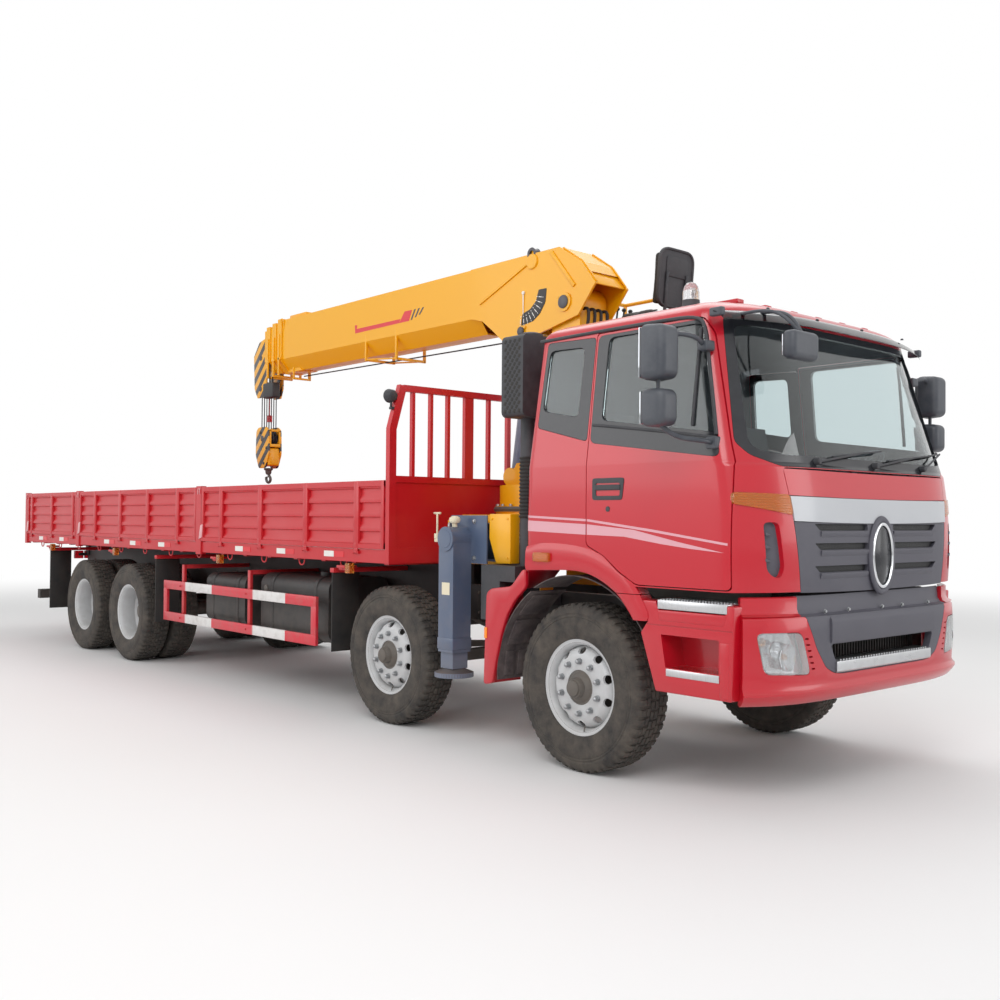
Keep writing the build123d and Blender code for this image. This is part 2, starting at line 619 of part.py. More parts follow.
# ---------------------------------------------------------------- wheels and knuckles
tyre_half = tyre_width / 2


def tyre_outline(centre):
    """Half section of a tyre as (y, radius) points about its own centre."""
    seat = rim_seat_radius + fit_gap
    lip = rim_flange_radius + 2
    return [(centre - 112, seat), (centre - 112, lip), (centre - 128, lip), (centre - tyre_half, seat + 130),
            (centre - 146, tyre_radius - 45), (centre - 118, tyre_radius - 4), (centre, tyre_radius),
            (centre + 118, tyre_radius - 4), (centre + 146, tyre_radius - 45), (centre + tyre_half, seat + 130),
            (centre + 128, lip), (centre + 112, lip), (centre + 112, seat)]


def barrel_outline(centre):
    """Rim barrel with its two flanges as (y, radius) points."""
    half = rim_width / 2
    return [(centre - half, rim_flange_radius), (centre - half, rim_seat_radius - 16),
            (centre + half, rim_seat_radius - 16), (centre + half, rim_flange_radius),
            (centre + half - 7, rim_flange_radius), (centre + half - 7, rim_seat_radius),
            (centre - half + 7, rim_seat_radius), (centre - half + 7, rim_flange_radius)]


spindle_radius = 40
steer_y = steer_track / 2
for number, x in enumerate(axles[:2], start=1):
    for name, side in sides:
        label = f"{name}_{number}"
        with BuildPart() as tyre:
            turned([(side * y, radius) for y, radius in tyre_outline(steer_y)], x, axle_height)
        save(tyre, f"tyre_{label}")
        with BuildPart() as rim:
            turned([(side * y, radius) for y, radius in barrel_outline(steer_y)], x, axle_height)
            # dished disc, hub, hub cap and brake drum
            turned([(side * y, radius) for y, radius in (
                (steer_y + 20, 275), (steer_y + 36, 275), (1128, 215), (1128, 90), (1112, 90), (1112, 210))],
                x, axle_height)
            turned([(side * y, radius) for y, radius in (
                (930, 80), (1112, 80), (1112, 95), (1130, 95), (1140, 62), (1205, 58), (1205, 0), (1160, 0),
                (1160, spindle_radius + fit_gap), (930, spindle_radius + fit_gap))], x, axle_height)
            turned([(side * y, radius) for y, radius in (
                (905, 200), (1010, 200), (1010, 79), (998, 79), (998, 170), (905, 170))], x, axle_height)
            with BuildSketch(Plane.XZ.offset(-side * 1100)) as holes:
                with Locations((x, axle_height)):
                    with PolarLocations(178, 10):
                        SlotOverall(62, 44, rotation=90)
            extrude(holes.sketch, amount=60, both=True, mode=Mode.SUBTRACT)
        save(rim, f"rim_{label}")
        with BuildPart() as knuckle:
            bar((x, side * 915, axle_height), (x, side * 1150, axle_height), spindle_radius)
            block((x - 60, x + 60), (side * 905, side * 925), (axle_height - 112, axle_height + 113))
            for turn in (-1, 1):
                block((x - 50, x + 50), (side * (kingpin_y - 45), side * 906),
                      (axle_height + turn * (eye_half + 0.5), axle_height + turn * (kingpin_half - 5)))
            bar((x, side * kingpin_y, axle_height - kingpin_half - 10),
                (x, side * kingpin_y, axle_height + kingpin_half + 10), kingpin_radius + fit_gap, mode=Mode.SUBTRACT)
            # steering arm
            for reach in ((x - 220, x - 45), (x - 60, x + 40)):
                block(reach, (side * (kingpin_y - 60), side * (kingpin_y - 25)), (axle_height - 112, axle_height - 87))
        save(knuckle, f"steering_knuckle_{label}")

twin_y = twin_track / 2
hub_radius = 60
for number, x in enumerate(axles[2:], start=3):
    for name, side in sides:
        label = f"{name}_{number}"
        with BuildPart() as tyres:
            for shift in (-twin_spacing / 2, twin_spacing / 2):
                turned([(side * y, radius) for y, radius in tyre_outline(twin_y + shift)], x, axle_height)
        save(tyres, f"tyres_{label}")
        with BuildPart() as rims:
            for shift in (-twin_spacing / 2, twin_spacing / 2):
                turned([(side * y, radius) for y, radius in barrel_outline(twin_y + shift)], x, axle_height)
            # two dished discs bolted back to back
            for flat, rim_end in ((twin_y + 15, 1030), (twin_y - 15, 830)):
                turned([(side * y, radius) for y, radius in (
                    (twin_y, 170), (flat, 170), (rim_end, 275), (rim_end - (flat - twin_y), 275))], x, axle_height)
            turned([(side * y, radius) for y, radius in (
                (twin_y - 15, 172), (twin_y - 15, 90), (twin_y + 15, 90), (twin_y + 15, 172))], x, axle_height)
            turned([(side * y, radius) for y, radius in (
                (650, 100), (1010, 100), (1010, 118), (1040, 118), (1060, 85), (1085, 80), (1085, 0), (1050, 0),
                (1050, hub_radius + fit_gap), (650, hub_radius + fit_gap))], x, axle_height)
            turned([(side * y, radius) for y, radius in (
                (670, 205), (860, 205), (860, 99), (845, 99), (845, 180), (670, 180))], x, axle_height)
        save(rims, f"rims_{label}")

# ---------------------------------------------------------------- cab
cab_half = cab_width / 2
lean = Vector(-265, 0, 1000).normalized()
waist = 1900
arch_floor = 1284


def cab_body(inset):
    """The cab's outside form, or the same form smaller by inset all round."""
    with BuildPart() as envelope:
        with BuildSketch(Plane.XY.offset(1000)) as lower:
            with BuildLine():
                Polyline((at(-1500), cab_half - inset), (at(1290) - inset, cab_half - inset),
                         (at(1375) - inset, 1010 - inset / 2), (at(1415) - inset, 850 - inset / 2))
                ThreePointArc((at(1415) - inset, 850 - inset / 2), (at(1440) - inset, 0),
                              (at(1415) - inset, -(850 - inset / 2)))
                Polyline((at(1415) - inset, -(850 - inset / 2)), (at(1375) - inset, -(1010 - inset / 2)),
                         (at(1290) - inset, -(cab_half - inset)), (at(-1500), -(cab_half - inset)),
                         (at(-1500), cab_half - inset))
            make_face()
        extrude(lower.sketch, amount=waist - 1000)
        with BuildSketch(Plane.XY.offset(waist)) as upper:
            with BuildLine():
                Polyline((at(-1500), cab_half - inset), (at(1285) - inset, cab_half - inset),
                         (at(1345) - inset, 1100 - inset / 2))
                ThreePointArc((at(1345) - inset, 1100 - inset / 2), (at(1400) - inset, 0),
                              (at(1345) - inset, -(1100 - inset / 2)))
                Polyline((at(1345) - inset, -(1100 - inset / 2)), (at(1285) - inset, -(cab_half - inset)),
                         (at(-1500), -(cab_half - inset)), (at(-1500), cab_half - inset))
            make_face()
        extrude(upper.sketch, amount=1300, dir=lean)
    with BuildPart() as body:
        with BuildSketch(Plane.XZ.offset(-1400)) as profile:
            with BuildLine():
                Polyline((at(0), arch_floor), (at(-400), arch_floor), (at(-395), 1600), (at(-355), 2150), (at(-295), 2790),
                         (at(-170), 2900), (at(700), 2950), (at(1085), 2930), (at(1500), 2500), (at(1500), cab_bottom),
                         (at(400), cab_bottom), (at(0), arch_floor))
            make_face()
            if inset:
                offset(amount=-inset, kind=Kind.INTERSECTION, mode=Mode.REPLACE)
        extrude(profile.sketch, amount=2800)
        with BuildSketch(Plane.YZ.offset(at(-1000))) as front:
            with BuildLine():
                Polyline((-cab_half, 1000), (-cab_half, 1960), (-1135, 2790), (-1020, 2905), (-500, 2950),
                         (500, 2950), (1020, 2905), (1135, 2790), (cab_half, 1960), (cab_half, 1000), close=True)
            make_face()
            if inset:
                offset(amount=-inset, kind=Kind.INTERSECTION, mode=Mode.REPLACE)
        extrude(front.sketch, amount=3000, mode=Mode.INTERSECT)
        add(envelope.part, mode=Mode.INTERSECT)
    return body.part


cab_form = cab_body(0)
cab_skin = cab_form - cab_body(cab_wall)
door_outline = [(163, 1462), (163, 2100), (150, 2790), (970, 2790), (1030, 2700), (1205, 2060), (1245, 1930),
                (1250, 1800), (1250, 1235), (575, 1235), (440, 1305), (310, 1400)]
window_outline = [(275, 2255), (270, 2735), (985, 2700), (1135, 2125)]
quarter_outline = [(-290, 2205), (-255, 2745), (130, 2760), (120, 2115)]
screen_outline = [(-1090, 1975), (-1000, 2750), (1000, 2750), (1090, 1975)]
grille_half = 915
grille_low, grille_top = 1205, 1880
bulkhead_rear, bulkhead_front = at(1345), at(1370)
hinge_line = (at(1272), cab_half - 14)
hinge_heights = (1400, 1780)


def prism(outline, y, gap=0):
    """A solid cutter from an outline of (x, z) points, grown by a gap."""
    with BuildPart() as cutter:
        with BuildSketch(Plane.XZ.offset(-max(y))) as profile:
            with BuildLine():
                Polyline(*moved(outline), close=True)
            make_face()
            if gap:
                offset(amount=gap, kind=Kind.INTERSECTION, mode=Mode.REPLACE)
        extrude(profile.sketch, amount=max(y) - min(y))
    return cutter.part


def screen_prism(gap=0):
    """A solid cutter for the windscreen, grown by a gap."""
    with BuildPart() as cutter:
        with BuildSketch(Plane.YZ.offset(at(1000))) as profile:
            with BuildLine():
                Polyline(*screen_outline, close=True)
            make_face()
            if gap:
                offset(amount=gap, kind=Kind.INTERSECTION, mode=Mode.REPLACE)
        extrude(profile.sketch, amount=700)
    return cutter.part


with BuildPart() as cab_shell:
    add(cab_skin)
    # engine tunnel between the seats
    block((at(-398), at(940)), (-450, 450), (1290, 1590))
    block((at(-500), at(930)), (-435, 435), (1100, 1575), mode=Mode.SUBTRACT)
    for side in (-1, 1):
        add(prism(door_outline, (side * 1050, side * 1400), door_gap), mode=Mode.SUBTRACT)
        add(prism(quarter_outline, (side * 1050, side * 1400)), mode=Mode.SUBTRACT)
    add(screen_prism(), mode=Mode.SUBTRACT)
    block((at(1200), at(1600)), (-grille_half, grille_half), (grille_low, grille_top), mode=Mode.SUBTRACT)
    # bulkhead behind the front panel and its two tilt brackets
    block((bulkhead_rear, bulkhead_front), (-grille_half - 45, grille_half + 45), (1200, 1920))
    for side in (-1, 1):
        bar((at(tilt_pin[0]), side * 511, tilt_pin[1]), (at(tilt_pin[0]), side * 549, tilt_pin[1]), 40)
        block((bulkhead_rear + 5, at(tilt_pin[0] + 30)), (side * 515, side * 545), (tilt_pin[1], grille_low - 10))
        block((bulkhead_rear, bulkhead_front), (side * 515, side * 545), (1150, 1260))
        # door hinge pins, each held by two leaves that run into the pillar
        for z in hinge_heights:
            block((at(1240), hinge_line[0] + 14), (side * (hinge_line[1] - 60), side * (cab_half + 10)),
                  (z - 68, z + 68), mode=Mode.SUBTRACT)
            bar((hinge_line[0], side * hinge_line[1], z - 60), (hinge_line[0], side * hinge_line[1], z + 60),
                hinge_pin_radius)
            for low in (z - 60, z + 45):
                block((hinge_line[0] - 6, hinge_line[0] + 22), (side * (hinge_line[1] - 14), side * (hinge_line[1] + 2)),
                      (low, low + 15))
    bar((at(tilt_pin[0]), -560, tilt_pin[1]), (at(tilt_pin[0]), 560, tilt_pin[1]), 16 + fit_gap, mode=Mode.SUBTRACT)
save(cab_shell, "cab_shell")

glass_layer = cab_body(18) - cab_body(24)
with BuildPart() as cab_glass:
    add(glass_layer)
    with BuildPart(mode=Mode.PRIVATE) as openings:
        add(screen_prism(-fit_gap))
        for side in (-1, 1):
            add(prism(quarter_outline, (side * 1050, side * 1400), -fit_gap))
    add(openings.part, mode=Mode.INTERSECT)
save(cab_glass, "cab_glass")

with BuildPart() as front_panel:
    block((bulkhead_front, at(1600)), (-grille_half + 4, grille_half - 4), (grille_low + 4, grille_top - 4))
    add(cab_form, mode=Mode.INTERSECT)
save(front_panel, "front_panel")

# dashboard, wheel and seats
driver_y = 550
with BuildPart() as cab_interior:
    side_plate(moved([(960, 1700), (1000, 1560), (1290, 1540), (1290, 1890), (1010, 1900)]), (-1070, 1070))
    block((at(1280), bulkhead_rear), (-880, 880), (1560, 1880))
    bar((at(1100), driver_y, 1700), (at(930), driver_y, 1960), 28)
    with Locations(Plane(origin=(at(930), driver_y, 1960), z_dir=(-170, 0, 260))):
        Torus(225, 16)
        Box(430, 50, 14)
        Cylinder(60, 24)
    for y in (driver_y + 210, -(driver_y + 210)):
        block((at(-100), at(500)), (y - 230, y + 230), (arch_floor + cab_wall, 1700))
        side_plate(moved([(-60, 1690), (60, 1690), (-70, 2330), (-180, 2330)]), (y - 225, y + 225))
save(cab_interior, "cab_interior")

for name, side in sides:
    with BuildPart() as door:
        add(cab_skin)
        add(prism(door_outline, (side * 1050, side * 1400)), mode=Mode.INTERSECT)
        add(prism(window_outline, (side * 1050, side * 1400)), mode=Mode.SUBTRACT)
        for z in hinge_heights:
            bar((hinge_line[0], side * hinge_line[1], z - 40), (hinge_line[0], side * hinge_line[1], z + 40),
                hinge_barrel_radius)
            block((hinge_line[0] - 34, hinge_line[0]), (side * (hinge_line[1] - 9), side * (hinge_line[1] + 5)),
                  (z - 40, z + 40))
            bar((hinge_line[0], side * hinge_line[1], z - 41), (hinge_line[0], side * hinge_line[1], z + 41),
                hinge_pin_radius + fit_gap, mode=Mode.SUBTRACT)
    save(door, f"door_{name}")
    with BuildPart() as door_glass:
        add(glass_layer)
        add(prism(window_outline, (side * 1050, side * 1400), -fit_gap), mode=Mode.INTERSECT)
    save(door_glass, f"door_glass_{name}")
    with BuildPart() as mirror_part:
        for low, top in ((2380, 2700), (2130, 2350)):
            side_plate(moved([(900, low), (1000, low - 20), (1090, low), (1090, top), (1000, top + 20), (900, top)]),
                       (side * 1440, side * 1640))
        bar((at(1040), side * 1430, 2200), (at(1040), side * 1430, 2640), 14)
        for z in (2170, 2060):
            block((at(1160), at(1200)), (side * (cab_half - 20), side * (cab_half + 24)), (z - 30, z + 30))
            add(cab_form, mode=Mode.SUBTRACT)
            bar((at(1180), side * (cab_half + 12), z), (at(1040), side * 1440, z + 100), 12)
    save(mirror_part, f"mirror_{name}")
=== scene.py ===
import bpy
import json
from math import pi, sin, cos, radians
from mathutils import Vector, Matrix

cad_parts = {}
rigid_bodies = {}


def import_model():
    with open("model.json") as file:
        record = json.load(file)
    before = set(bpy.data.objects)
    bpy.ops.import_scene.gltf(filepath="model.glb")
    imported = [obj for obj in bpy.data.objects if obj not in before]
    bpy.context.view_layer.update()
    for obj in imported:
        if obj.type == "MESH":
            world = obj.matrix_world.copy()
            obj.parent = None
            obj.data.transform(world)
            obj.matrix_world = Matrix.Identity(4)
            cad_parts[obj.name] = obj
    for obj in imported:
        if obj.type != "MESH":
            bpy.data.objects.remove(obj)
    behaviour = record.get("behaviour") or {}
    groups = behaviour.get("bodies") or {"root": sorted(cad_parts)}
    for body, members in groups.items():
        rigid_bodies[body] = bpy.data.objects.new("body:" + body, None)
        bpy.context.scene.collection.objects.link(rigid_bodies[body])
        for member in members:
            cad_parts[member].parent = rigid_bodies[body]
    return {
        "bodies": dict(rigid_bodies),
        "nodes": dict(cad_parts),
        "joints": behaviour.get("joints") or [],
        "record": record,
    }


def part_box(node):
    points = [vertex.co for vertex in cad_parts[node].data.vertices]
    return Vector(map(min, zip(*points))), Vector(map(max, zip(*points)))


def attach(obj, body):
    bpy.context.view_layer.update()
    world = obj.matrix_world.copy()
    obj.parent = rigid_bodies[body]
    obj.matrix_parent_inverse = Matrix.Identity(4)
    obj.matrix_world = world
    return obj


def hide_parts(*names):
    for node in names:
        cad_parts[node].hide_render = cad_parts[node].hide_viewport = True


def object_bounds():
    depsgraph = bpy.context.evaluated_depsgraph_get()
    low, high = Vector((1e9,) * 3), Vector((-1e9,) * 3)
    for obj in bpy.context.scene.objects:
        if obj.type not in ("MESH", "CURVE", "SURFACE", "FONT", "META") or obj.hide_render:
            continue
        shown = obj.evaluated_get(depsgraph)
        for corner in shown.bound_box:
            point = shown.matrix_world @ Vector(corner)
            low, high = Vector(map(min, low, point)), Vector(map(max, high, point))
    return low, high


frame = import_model()
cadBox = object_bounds()
print("stage: packed lorry loaded")

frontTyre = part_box("tyre_right_1")
axleOne = (frontTyre[0][0] + frontTyre[1][0]) / 2      # X of the first axle: most places are counted from it
sides = (("right", -1), ("left", 1))


def at(place):
    return axleOne + place


# small hand tools

def startClean():
    if bpy.context.object and bpy.context.object.mode != "OBJECT":
        bpy.ops.object.mode_set(mode="OBJECT")
    bpy.ops.object.select_all(action="DESELECT")


def pickOnly(*pieces):
    startClean()
    for piece in pieces:
        piece.select_set(True)
    bpy.context.view_layer.objects.active = pieces[0]


def applyModifier(piece, kind, **settings):
    pickOnly(piece)
    modifier = piece.modifiers.new(kind.title(), kind)
    for key, value in settings.items():
        setattr(modifier, key, value)
    bpy.ops.object.modifier_apply(modifier=modifier.name)


def bevelEdges(piece, width, segments=2, angle=40):
    applyModifier(piece, "BEVEL", width=width, segments=segments, limit_method="ANGLE", angle_limit=radians(angle))


def cutWith(piece, cutter, operation="DIFFERENCE"):
    applyModifier(piece, "BOOLEAN", object=cutter, operation=operation, solver="EXACT")
    bpy.data.objects.remove(cutter)


def joined(pieces):
    pickOnly(*pieces)
    if len(pieces) > 1:
        bpy.ops.object.join()
    return bpy.context.view_layer.objects.active


def outwards(piece, merge=0.00005):
    pickOnly(piece)
    bpy.ops.object.mode_set(mode="EDIT")
    bpy.ops.mesh.select_all(action="SELECT")
    bpy.ops.mesh.remove_doubles(threshold=merge)
    bpy.ops.mesh.delete_loose()
    bpy.ops.mesh.select_all(action="SELECT")
    bpy.ops.mesh.normals_make_consistent(inside=False)
    bpy.ops.object.mode_set(mode="OBJECT")


def copied(piece, change=Matrix()):      # a copy with a mesh of its own, turned or moved in its mesh
    twin = piece.copy()
    twin.data = piece.data.copy()
    bpy.context.collection.objects.link(twin)
    twin.data.transform(change)
    return twin


def roundedBox(low, high, bevel=0.004, segments=2):
    startClean()
    low, high = Vector(map(min, low, high)), Vector(map(max, low, high))
    bpy.ops.mesh.primitive_cube_add(size=1, location=(low + high) / 2, scale=high - low)
    piece = bpy.context.object
    bpy.ops.object.transform_apply(location=True, rotation=True, scale=True)
    if bevel:
        bevelEdges(piece, bevel, segments)
    return piece


def boxBetween(low, high, *bevel):      # the same, from corners whose first value is counted from the first axle
    return roundedBox((at(low[0]), *low[1:]), (at(high[0]), *high[1:]), *bevel)


def plate(outline, along, low, high, bevel=0.003, segments=2):      # an outline pushed along one axis
    startClean()
    bpy.ops.mesh.primitive_circle_add(vertices=len(outline), fill_type="NGON")
    piece = bpy.context.object
    first, second, push = {"x": (1, 2, 0), "y": (0, 2, 1), "z": (0, 1, 2)}[along]
    for vertex, point in zip(piece.data.vertices, outline):
        vertex.co[first], vertex.co[second], vertex.co[push] = point[0], point[1], low
    move = [0, 0, 0]
    move[push] = high - low
    bpy.ops.object.mode_set(mode="EDIT")
    bpy.ops.mesh.select_all(action="SELECT")
    bpy.ops.mesh.extrude_region_move(TRANSFORM_OT_translate={"value": move})
    bpy.ops.object.mode_set(mode="OBJECT")
    outwards(piece)
    if bevel:
        bevelEdges(piece, bevel, segments)
    return piece


axisOf = {"x": Vector((1, 0, 0)), "y": Vector((0, 1, 0)), "z": Vector((0, 0, 1))}


def turned(profile, middle, axis="y", steps=40):      # a closed profile of (run, radius) spun about an axis
    startClean()
    bpy.ops.mesh.primitive_circle_add(vertices=len(profile), fill_type="NOTHING")
    piece = bpy.context.object
    along = axisOf[axis] if isinstance(axis, str) else Vector(axis).normalized()
    outward = along.orthogonal().normalized()
    for vertex, (run, radius) in zip(piece.data.vertices, profile):
        vertex.co = Vector(middle) + along * run + outward * radius
    bpy.ops.object.mode_set(mode="EDIT")
    bpy.ops.mesh.select_all(action="SELECT")
    bpy.ops.mesh.spin(steps=steps, angle=2 * pi, center=middle, axis=along)
    bpy.ops.object.mode_set(mode="OBJECT")
    outwards(piece)
    return piece


def rod(start, end, radius, steps=16):      # a round bar between two points, with its edges just broken
    start, end = Vector(start), Vector(end)
    length, edge = (end - start).length, radius * 0.08
    return turned([(0, 0), (0, radius - edge), (edge, radius), (length - edge, radius), (length, radius - edge),
                   (length, 0)], start, end - start, steps)


def tube(points, radius, ring=3, steps=5, cyclic=False):      # a hose, wire or bent pipe
    startClean()
    bpy.ops.curve.primitive_nurbs_path_add()
    piece = bpy.context.object
    line = piece.data
    line.splines.clear()
    run = line.splines.new("NURBS")
    run.points.add(len(points) - 1)
    for point, place in zip(run.points, points):
        point.co = (*place, 1)
    run.order_u = 3
    run.use_endpoint_u = not cyclic
    run.use_cyclic_u = cyclic
    line.resolution_u = steps
    line.bevel_depth = radius
    line.bevel_resolution = ring
    line.use_fill_caps = True
    pickOnly(piece)
    bpy.ops.object.convert(target="MESH")
    return bpy.context.object


def boltRow(places, axis, radius=0.012, height=0.012):      # hexagon heads on their washers
    along = axisOf[axis]
    heads = []
    for place in places:
        heads.append(turned([(0, 0), (0, radius * 1.35), (height * 0.2, radius * 1.35), (height * 0.2, 0)],
                            place, axis, 12))
        heads.append(turned([(0, 0), (0, radius), (height * 0.85, radius), (height, radius * 0.8), (height, 0)],
                            Vector(place) + along * height * 0.15, axis, 6))
    return joined(heads)


def finished(piece, name, coats, body, smooth=32):      # joins, names, colours and puts it on its body
    if isinstance(piece, (list, tuple)):
        piece = joined(piece)
    piece.name = piece.data.name = name
    kinds = [finish[coat] for coat in ([coats] if isinstance(coats, str) else coats)]
    places = [min(polygon.material_index, len(kinds)) % len(kinds) for polygon in piece.data.polygons]
    piece.data.materials.clear()
    for kind in kinds:
        piece.data.materials.append(kind)
    piece.data.polygons.foreach_set("material_index", places)
    if smooth:
        pickOnly(piece)
        bpy.ops.object.shade_smooth_by_angle(angle=radians(smooth))
    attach(piece, body)
    return piece


# finishes

def linearColour(code, alpha=1.0):      # sRGB hex to the linear values that shaders take
    parts = [int(code[place:place + 2], 16) / 255 for place in (1, 3, 5)]
    return tuple(part / 12.92 if part <= 0.04045 else ((part + 0.055) / 1.055) ** 2.4 for part in parts) + (alpha,)


def addNode(tree, kind, settings=None, inputs=None):
    node = tree.nodes.new("ShaderNode" + kind)
    for key, value in (settings or {}).items():
        setattr(node, key, value)
    for key, value in (inputs or {}).items():
        if isinstance(value, bpy.types.NodeSocket):
            tree.links.new(value, node.inputs[key])
        else:
            node.inputs[key].default_value = value
    return node


def newMaterial(name, **fixed):      # a material with its tree, its shader and the piece's own coordinates
    material = bpy.data.materials.new(name)
    material.use_nodes = True
    shader = material.node_tree.nodes["Principled BSDF"]
    for key, value in fixed.items():
        shader.inputs[key.replace("_", " ")].default_value = value
    return material, material.node_tree, shader, addNode(material.node_tree, "TexCoord").outputs["Object"]


def mixColours(tree, share, first, second):
    return addNode(tree, "Mix", {"data_type": "RGBA"}, {0: share, 6: first, 7: second}).outputs[2]


def enamel(name, colour, dust="#8d7f70", dustHeight=1.1, dustShare=0.45, gloss=0.25, coat=0.5, fade=0.12):
    # two-pack enamel sprayed on steel: a hard glossy film, a little faded, dull with road dust lower down
    material, tree, shader, where = newMaterial(name, Coat_Weight=coat, Coat_Roughness=0.08, IOR=1.5)
    cloud = addNode(tree, "TexNoise", inputs={"Vector": where, "Scale": 1.6, "Detail": 4.0}).outputs["Fac"]
    grime = addNode(tree, "TexNoise", inputs={"Vector": where, "Scale": 9.0, "Detail": 7.0, "Roughness": 0.7})
    height = addNode(tree, "SeparateXYZ", inputs={0: where}).outputs["Z"]
    low = addNode(tree, "MapRange", inputs={0: height, 1: dustHeight, 2: 0.25, 3: 0.0, 4: dustShare}).outputs[0]
    facing = addNode(tree, "SeparateXYZ", inputs={0: addNode(tree, "NewGeometry").outputs["Normal"]}).outputs["Z"]
    lying = addNode(tree, "MapRange", inputs={0: facing, 1: 0.55, 2: 1.0, 3: 0.0, 4: 0.16}).outputs[0]
    both = addNode(tree, "Math", {"operation": "ADD"}, {0: low, 1: lying}).outputs[0]
    patch = addNode(tree, "MapRange", inputs={0: grime.outputs["Fac"], 1: 0.35, 2: 0.7, 3: 0.25, 4: 1.0}).outputs[0]
    dirt = addNode(tree, "Math", {"operation": "MULTIPLY", "use_clamp": True}, {0: both, 1: patch}).outputs[0]
    base = linearColour(colour)
    worn = tuple(part + (0.75 - part) * fade for part in base[:3]) + (1,)
    share = addNode(tree, "MapRange", inputs={0: cloud, 1: 0.42, 2: 0.72}).outputs[0]
    paint = mixColours(tree, share, base, worn)
    tree.links.new(mixColours(tree, dirt, paint, linearColour(dust)), shader.inputs["Base Color"])
    rough = addNode(tree, "MapRange", inputs={0: dirt, 3: gloss, 4: 0.75}).outputs[0]
    tree.links.new(rough, shader.inputs["Roughness"])
    # the film's real ripple is under 1 mm across, so it is drawn at 15 mm to show at all
    ripple = addNode(tree, "TexNoise", inputs={"Vector": where, "Scale": 65.0, "Detail": 2.0}).outputs["Fac"]
    bump = addNode(tree, "Bump", inputs={"Strength": 0.04, "Distance": 0.002, "Height": ripple})
    tree.links.new(bump.outputs["Normal"], shader.inputs["Normal"])
    return material


def plastic(name, colour, pale=0.06, roughness=0.5, grain=300.0, bumpSize=0.0006, dirt=0.25):
    # moulded polypropylene: the grain of the mould, sun-faded in cloudy patches
    material, tree, shader, where = newMaterial(name, IOR=1.49)
    cloud = addNode(tree, "TexNoise", inputs={"Vector": where, "Scale": 5.0, "Detail": 6.0, "Roughness": 0.65})
    share = addNode(tree, "MapRange", inputs={0: cloud.outputs["Fac"], 1: 0.35, 2: 0.75}).outputs[0]
    base = linearColour(colour)
    worn = tuple(part + pale for part in base[:3]) + (1,)
    tree.links.new(mixColours(tree, share, base, worn), shader.inputs["Base Color"])
    tree.links.new(addNode(tree, "MapRange", inputs={0: share, 3: roughness, 4: roughness + dirt}).outputs[0],
                   shader.inputs["Roughness"])
    cells = addNode(tree, "TexVoronoi", inputs={"Vector": where, "Scale": grain}).outputs["Distance"]
    bump = addNode(tree, "Bump", inputs={"Strength": 0.35, "Distance": bumpSize, "Height": cells})
    tree.links.new(bump.outputs["Normal"], shader.inputs["Normal"])
    return material


def bareMetal(name, colour, roughness=0.3, streak=(4.0, 4.0, 60.0), spots=0.15):
    # rolled or cast metal left bare: long fine streaks and a few dull spots
    material, tree, shader, where = newMaterial(name, Metallic=1.0)
    run = addNode(tree, "Mapping", inputs={"Vector": where, "Scale": streak}).outputs[0]
    lines = addNode(tree, "TexNoise", inputs={"Vector": run, "Scale": 3.0, "Detail": 5.0}).outputs["Fac"]
    base = linearColour(colour)
    dull = tuple(part * 0.55 for part in base[:3]) + (1,)
    share = addNode(tree, "MapRange", inputs={0: lines, 1: 0.45, 2: 0.8, 3: 0.0, 4: spots * 2}).outputs[0]
    tree.links.new(mixColours(tree, share, base, dull), shader.inputs["Base Color"])
    tree.links.new(addNode(tree, "MapRange", inputs={0: lines, 3: roughness * 0.7, 4: roughness * 1.5}).outputs[0],
                   shader.inputs["Roughness"])
    return material


def rubber(name, colour, dust="#8b8073", dustShare=0.4, roughness=0.8, scale=7.0):
    # vulcanised black rubber greyed by dry dust
    material, tree, shader, where = newMaterial(name, IOR=1.5)
    cloud = addNode(tree, "TexNoise", inputs={"Vector": where, "Scale": scale, "Detail": 8.0, "Roughness": 0.7})
    share = addNode(tree, "MapRange", inputs={0: cloud.outputs["Fac"], 1: 0.3, 2: 0.75, 3: 0.0, 4: dustShare})
    tree.links.new(mixColours(tree, share.outputs[0], linearColour(colour), linearColour(dust)),
                   shader.inputs["Base Color"])
    tree.links.new(addNode(tree, "MapRange", inputs={0: cloud.outputs["Fac"], 3: roughness - 0.12, 4: 0.98})
                   .outputs[0], shader.inputs["Roughness"])
    fine = addNode(tree, "TexNoise", inputs={"Vector": where, "Scale": 90.0, "Detail": 3.0}).outputs["Fac"]
    bump = addNode(tree, "Bump", inputs={"Strength": 0.3, "Distance": 0.001, "Height": fine})
    tree.links.new(bump.outputs["Normal"], shader.inputs["Normal"])
    return material


def clearGlass(name, tint, roughness=0.0, smear=0.02):
    # float glass with a faint tint, wiped but a little dusty
    material, tree, shader, where = newMaterial(name, Transmission_Weight=1.0, IOR=1.45)
    film = addNode(tree, "TexNoise", inputs={"Vector": where, "Scale": 3.0, "Detail": 5.0}).outputs["Fac"]
    shader.inputs["Base Color"].default_value = linearColour(tint)
    tree.links.new(addNode(tree, "MapRange", inputs={0: film, 1: 0.4, 2: 0.8, 3: roughness, 4: roughness + smear})
                   .outputs[0], shader.inputs["Roughness"])
    return material


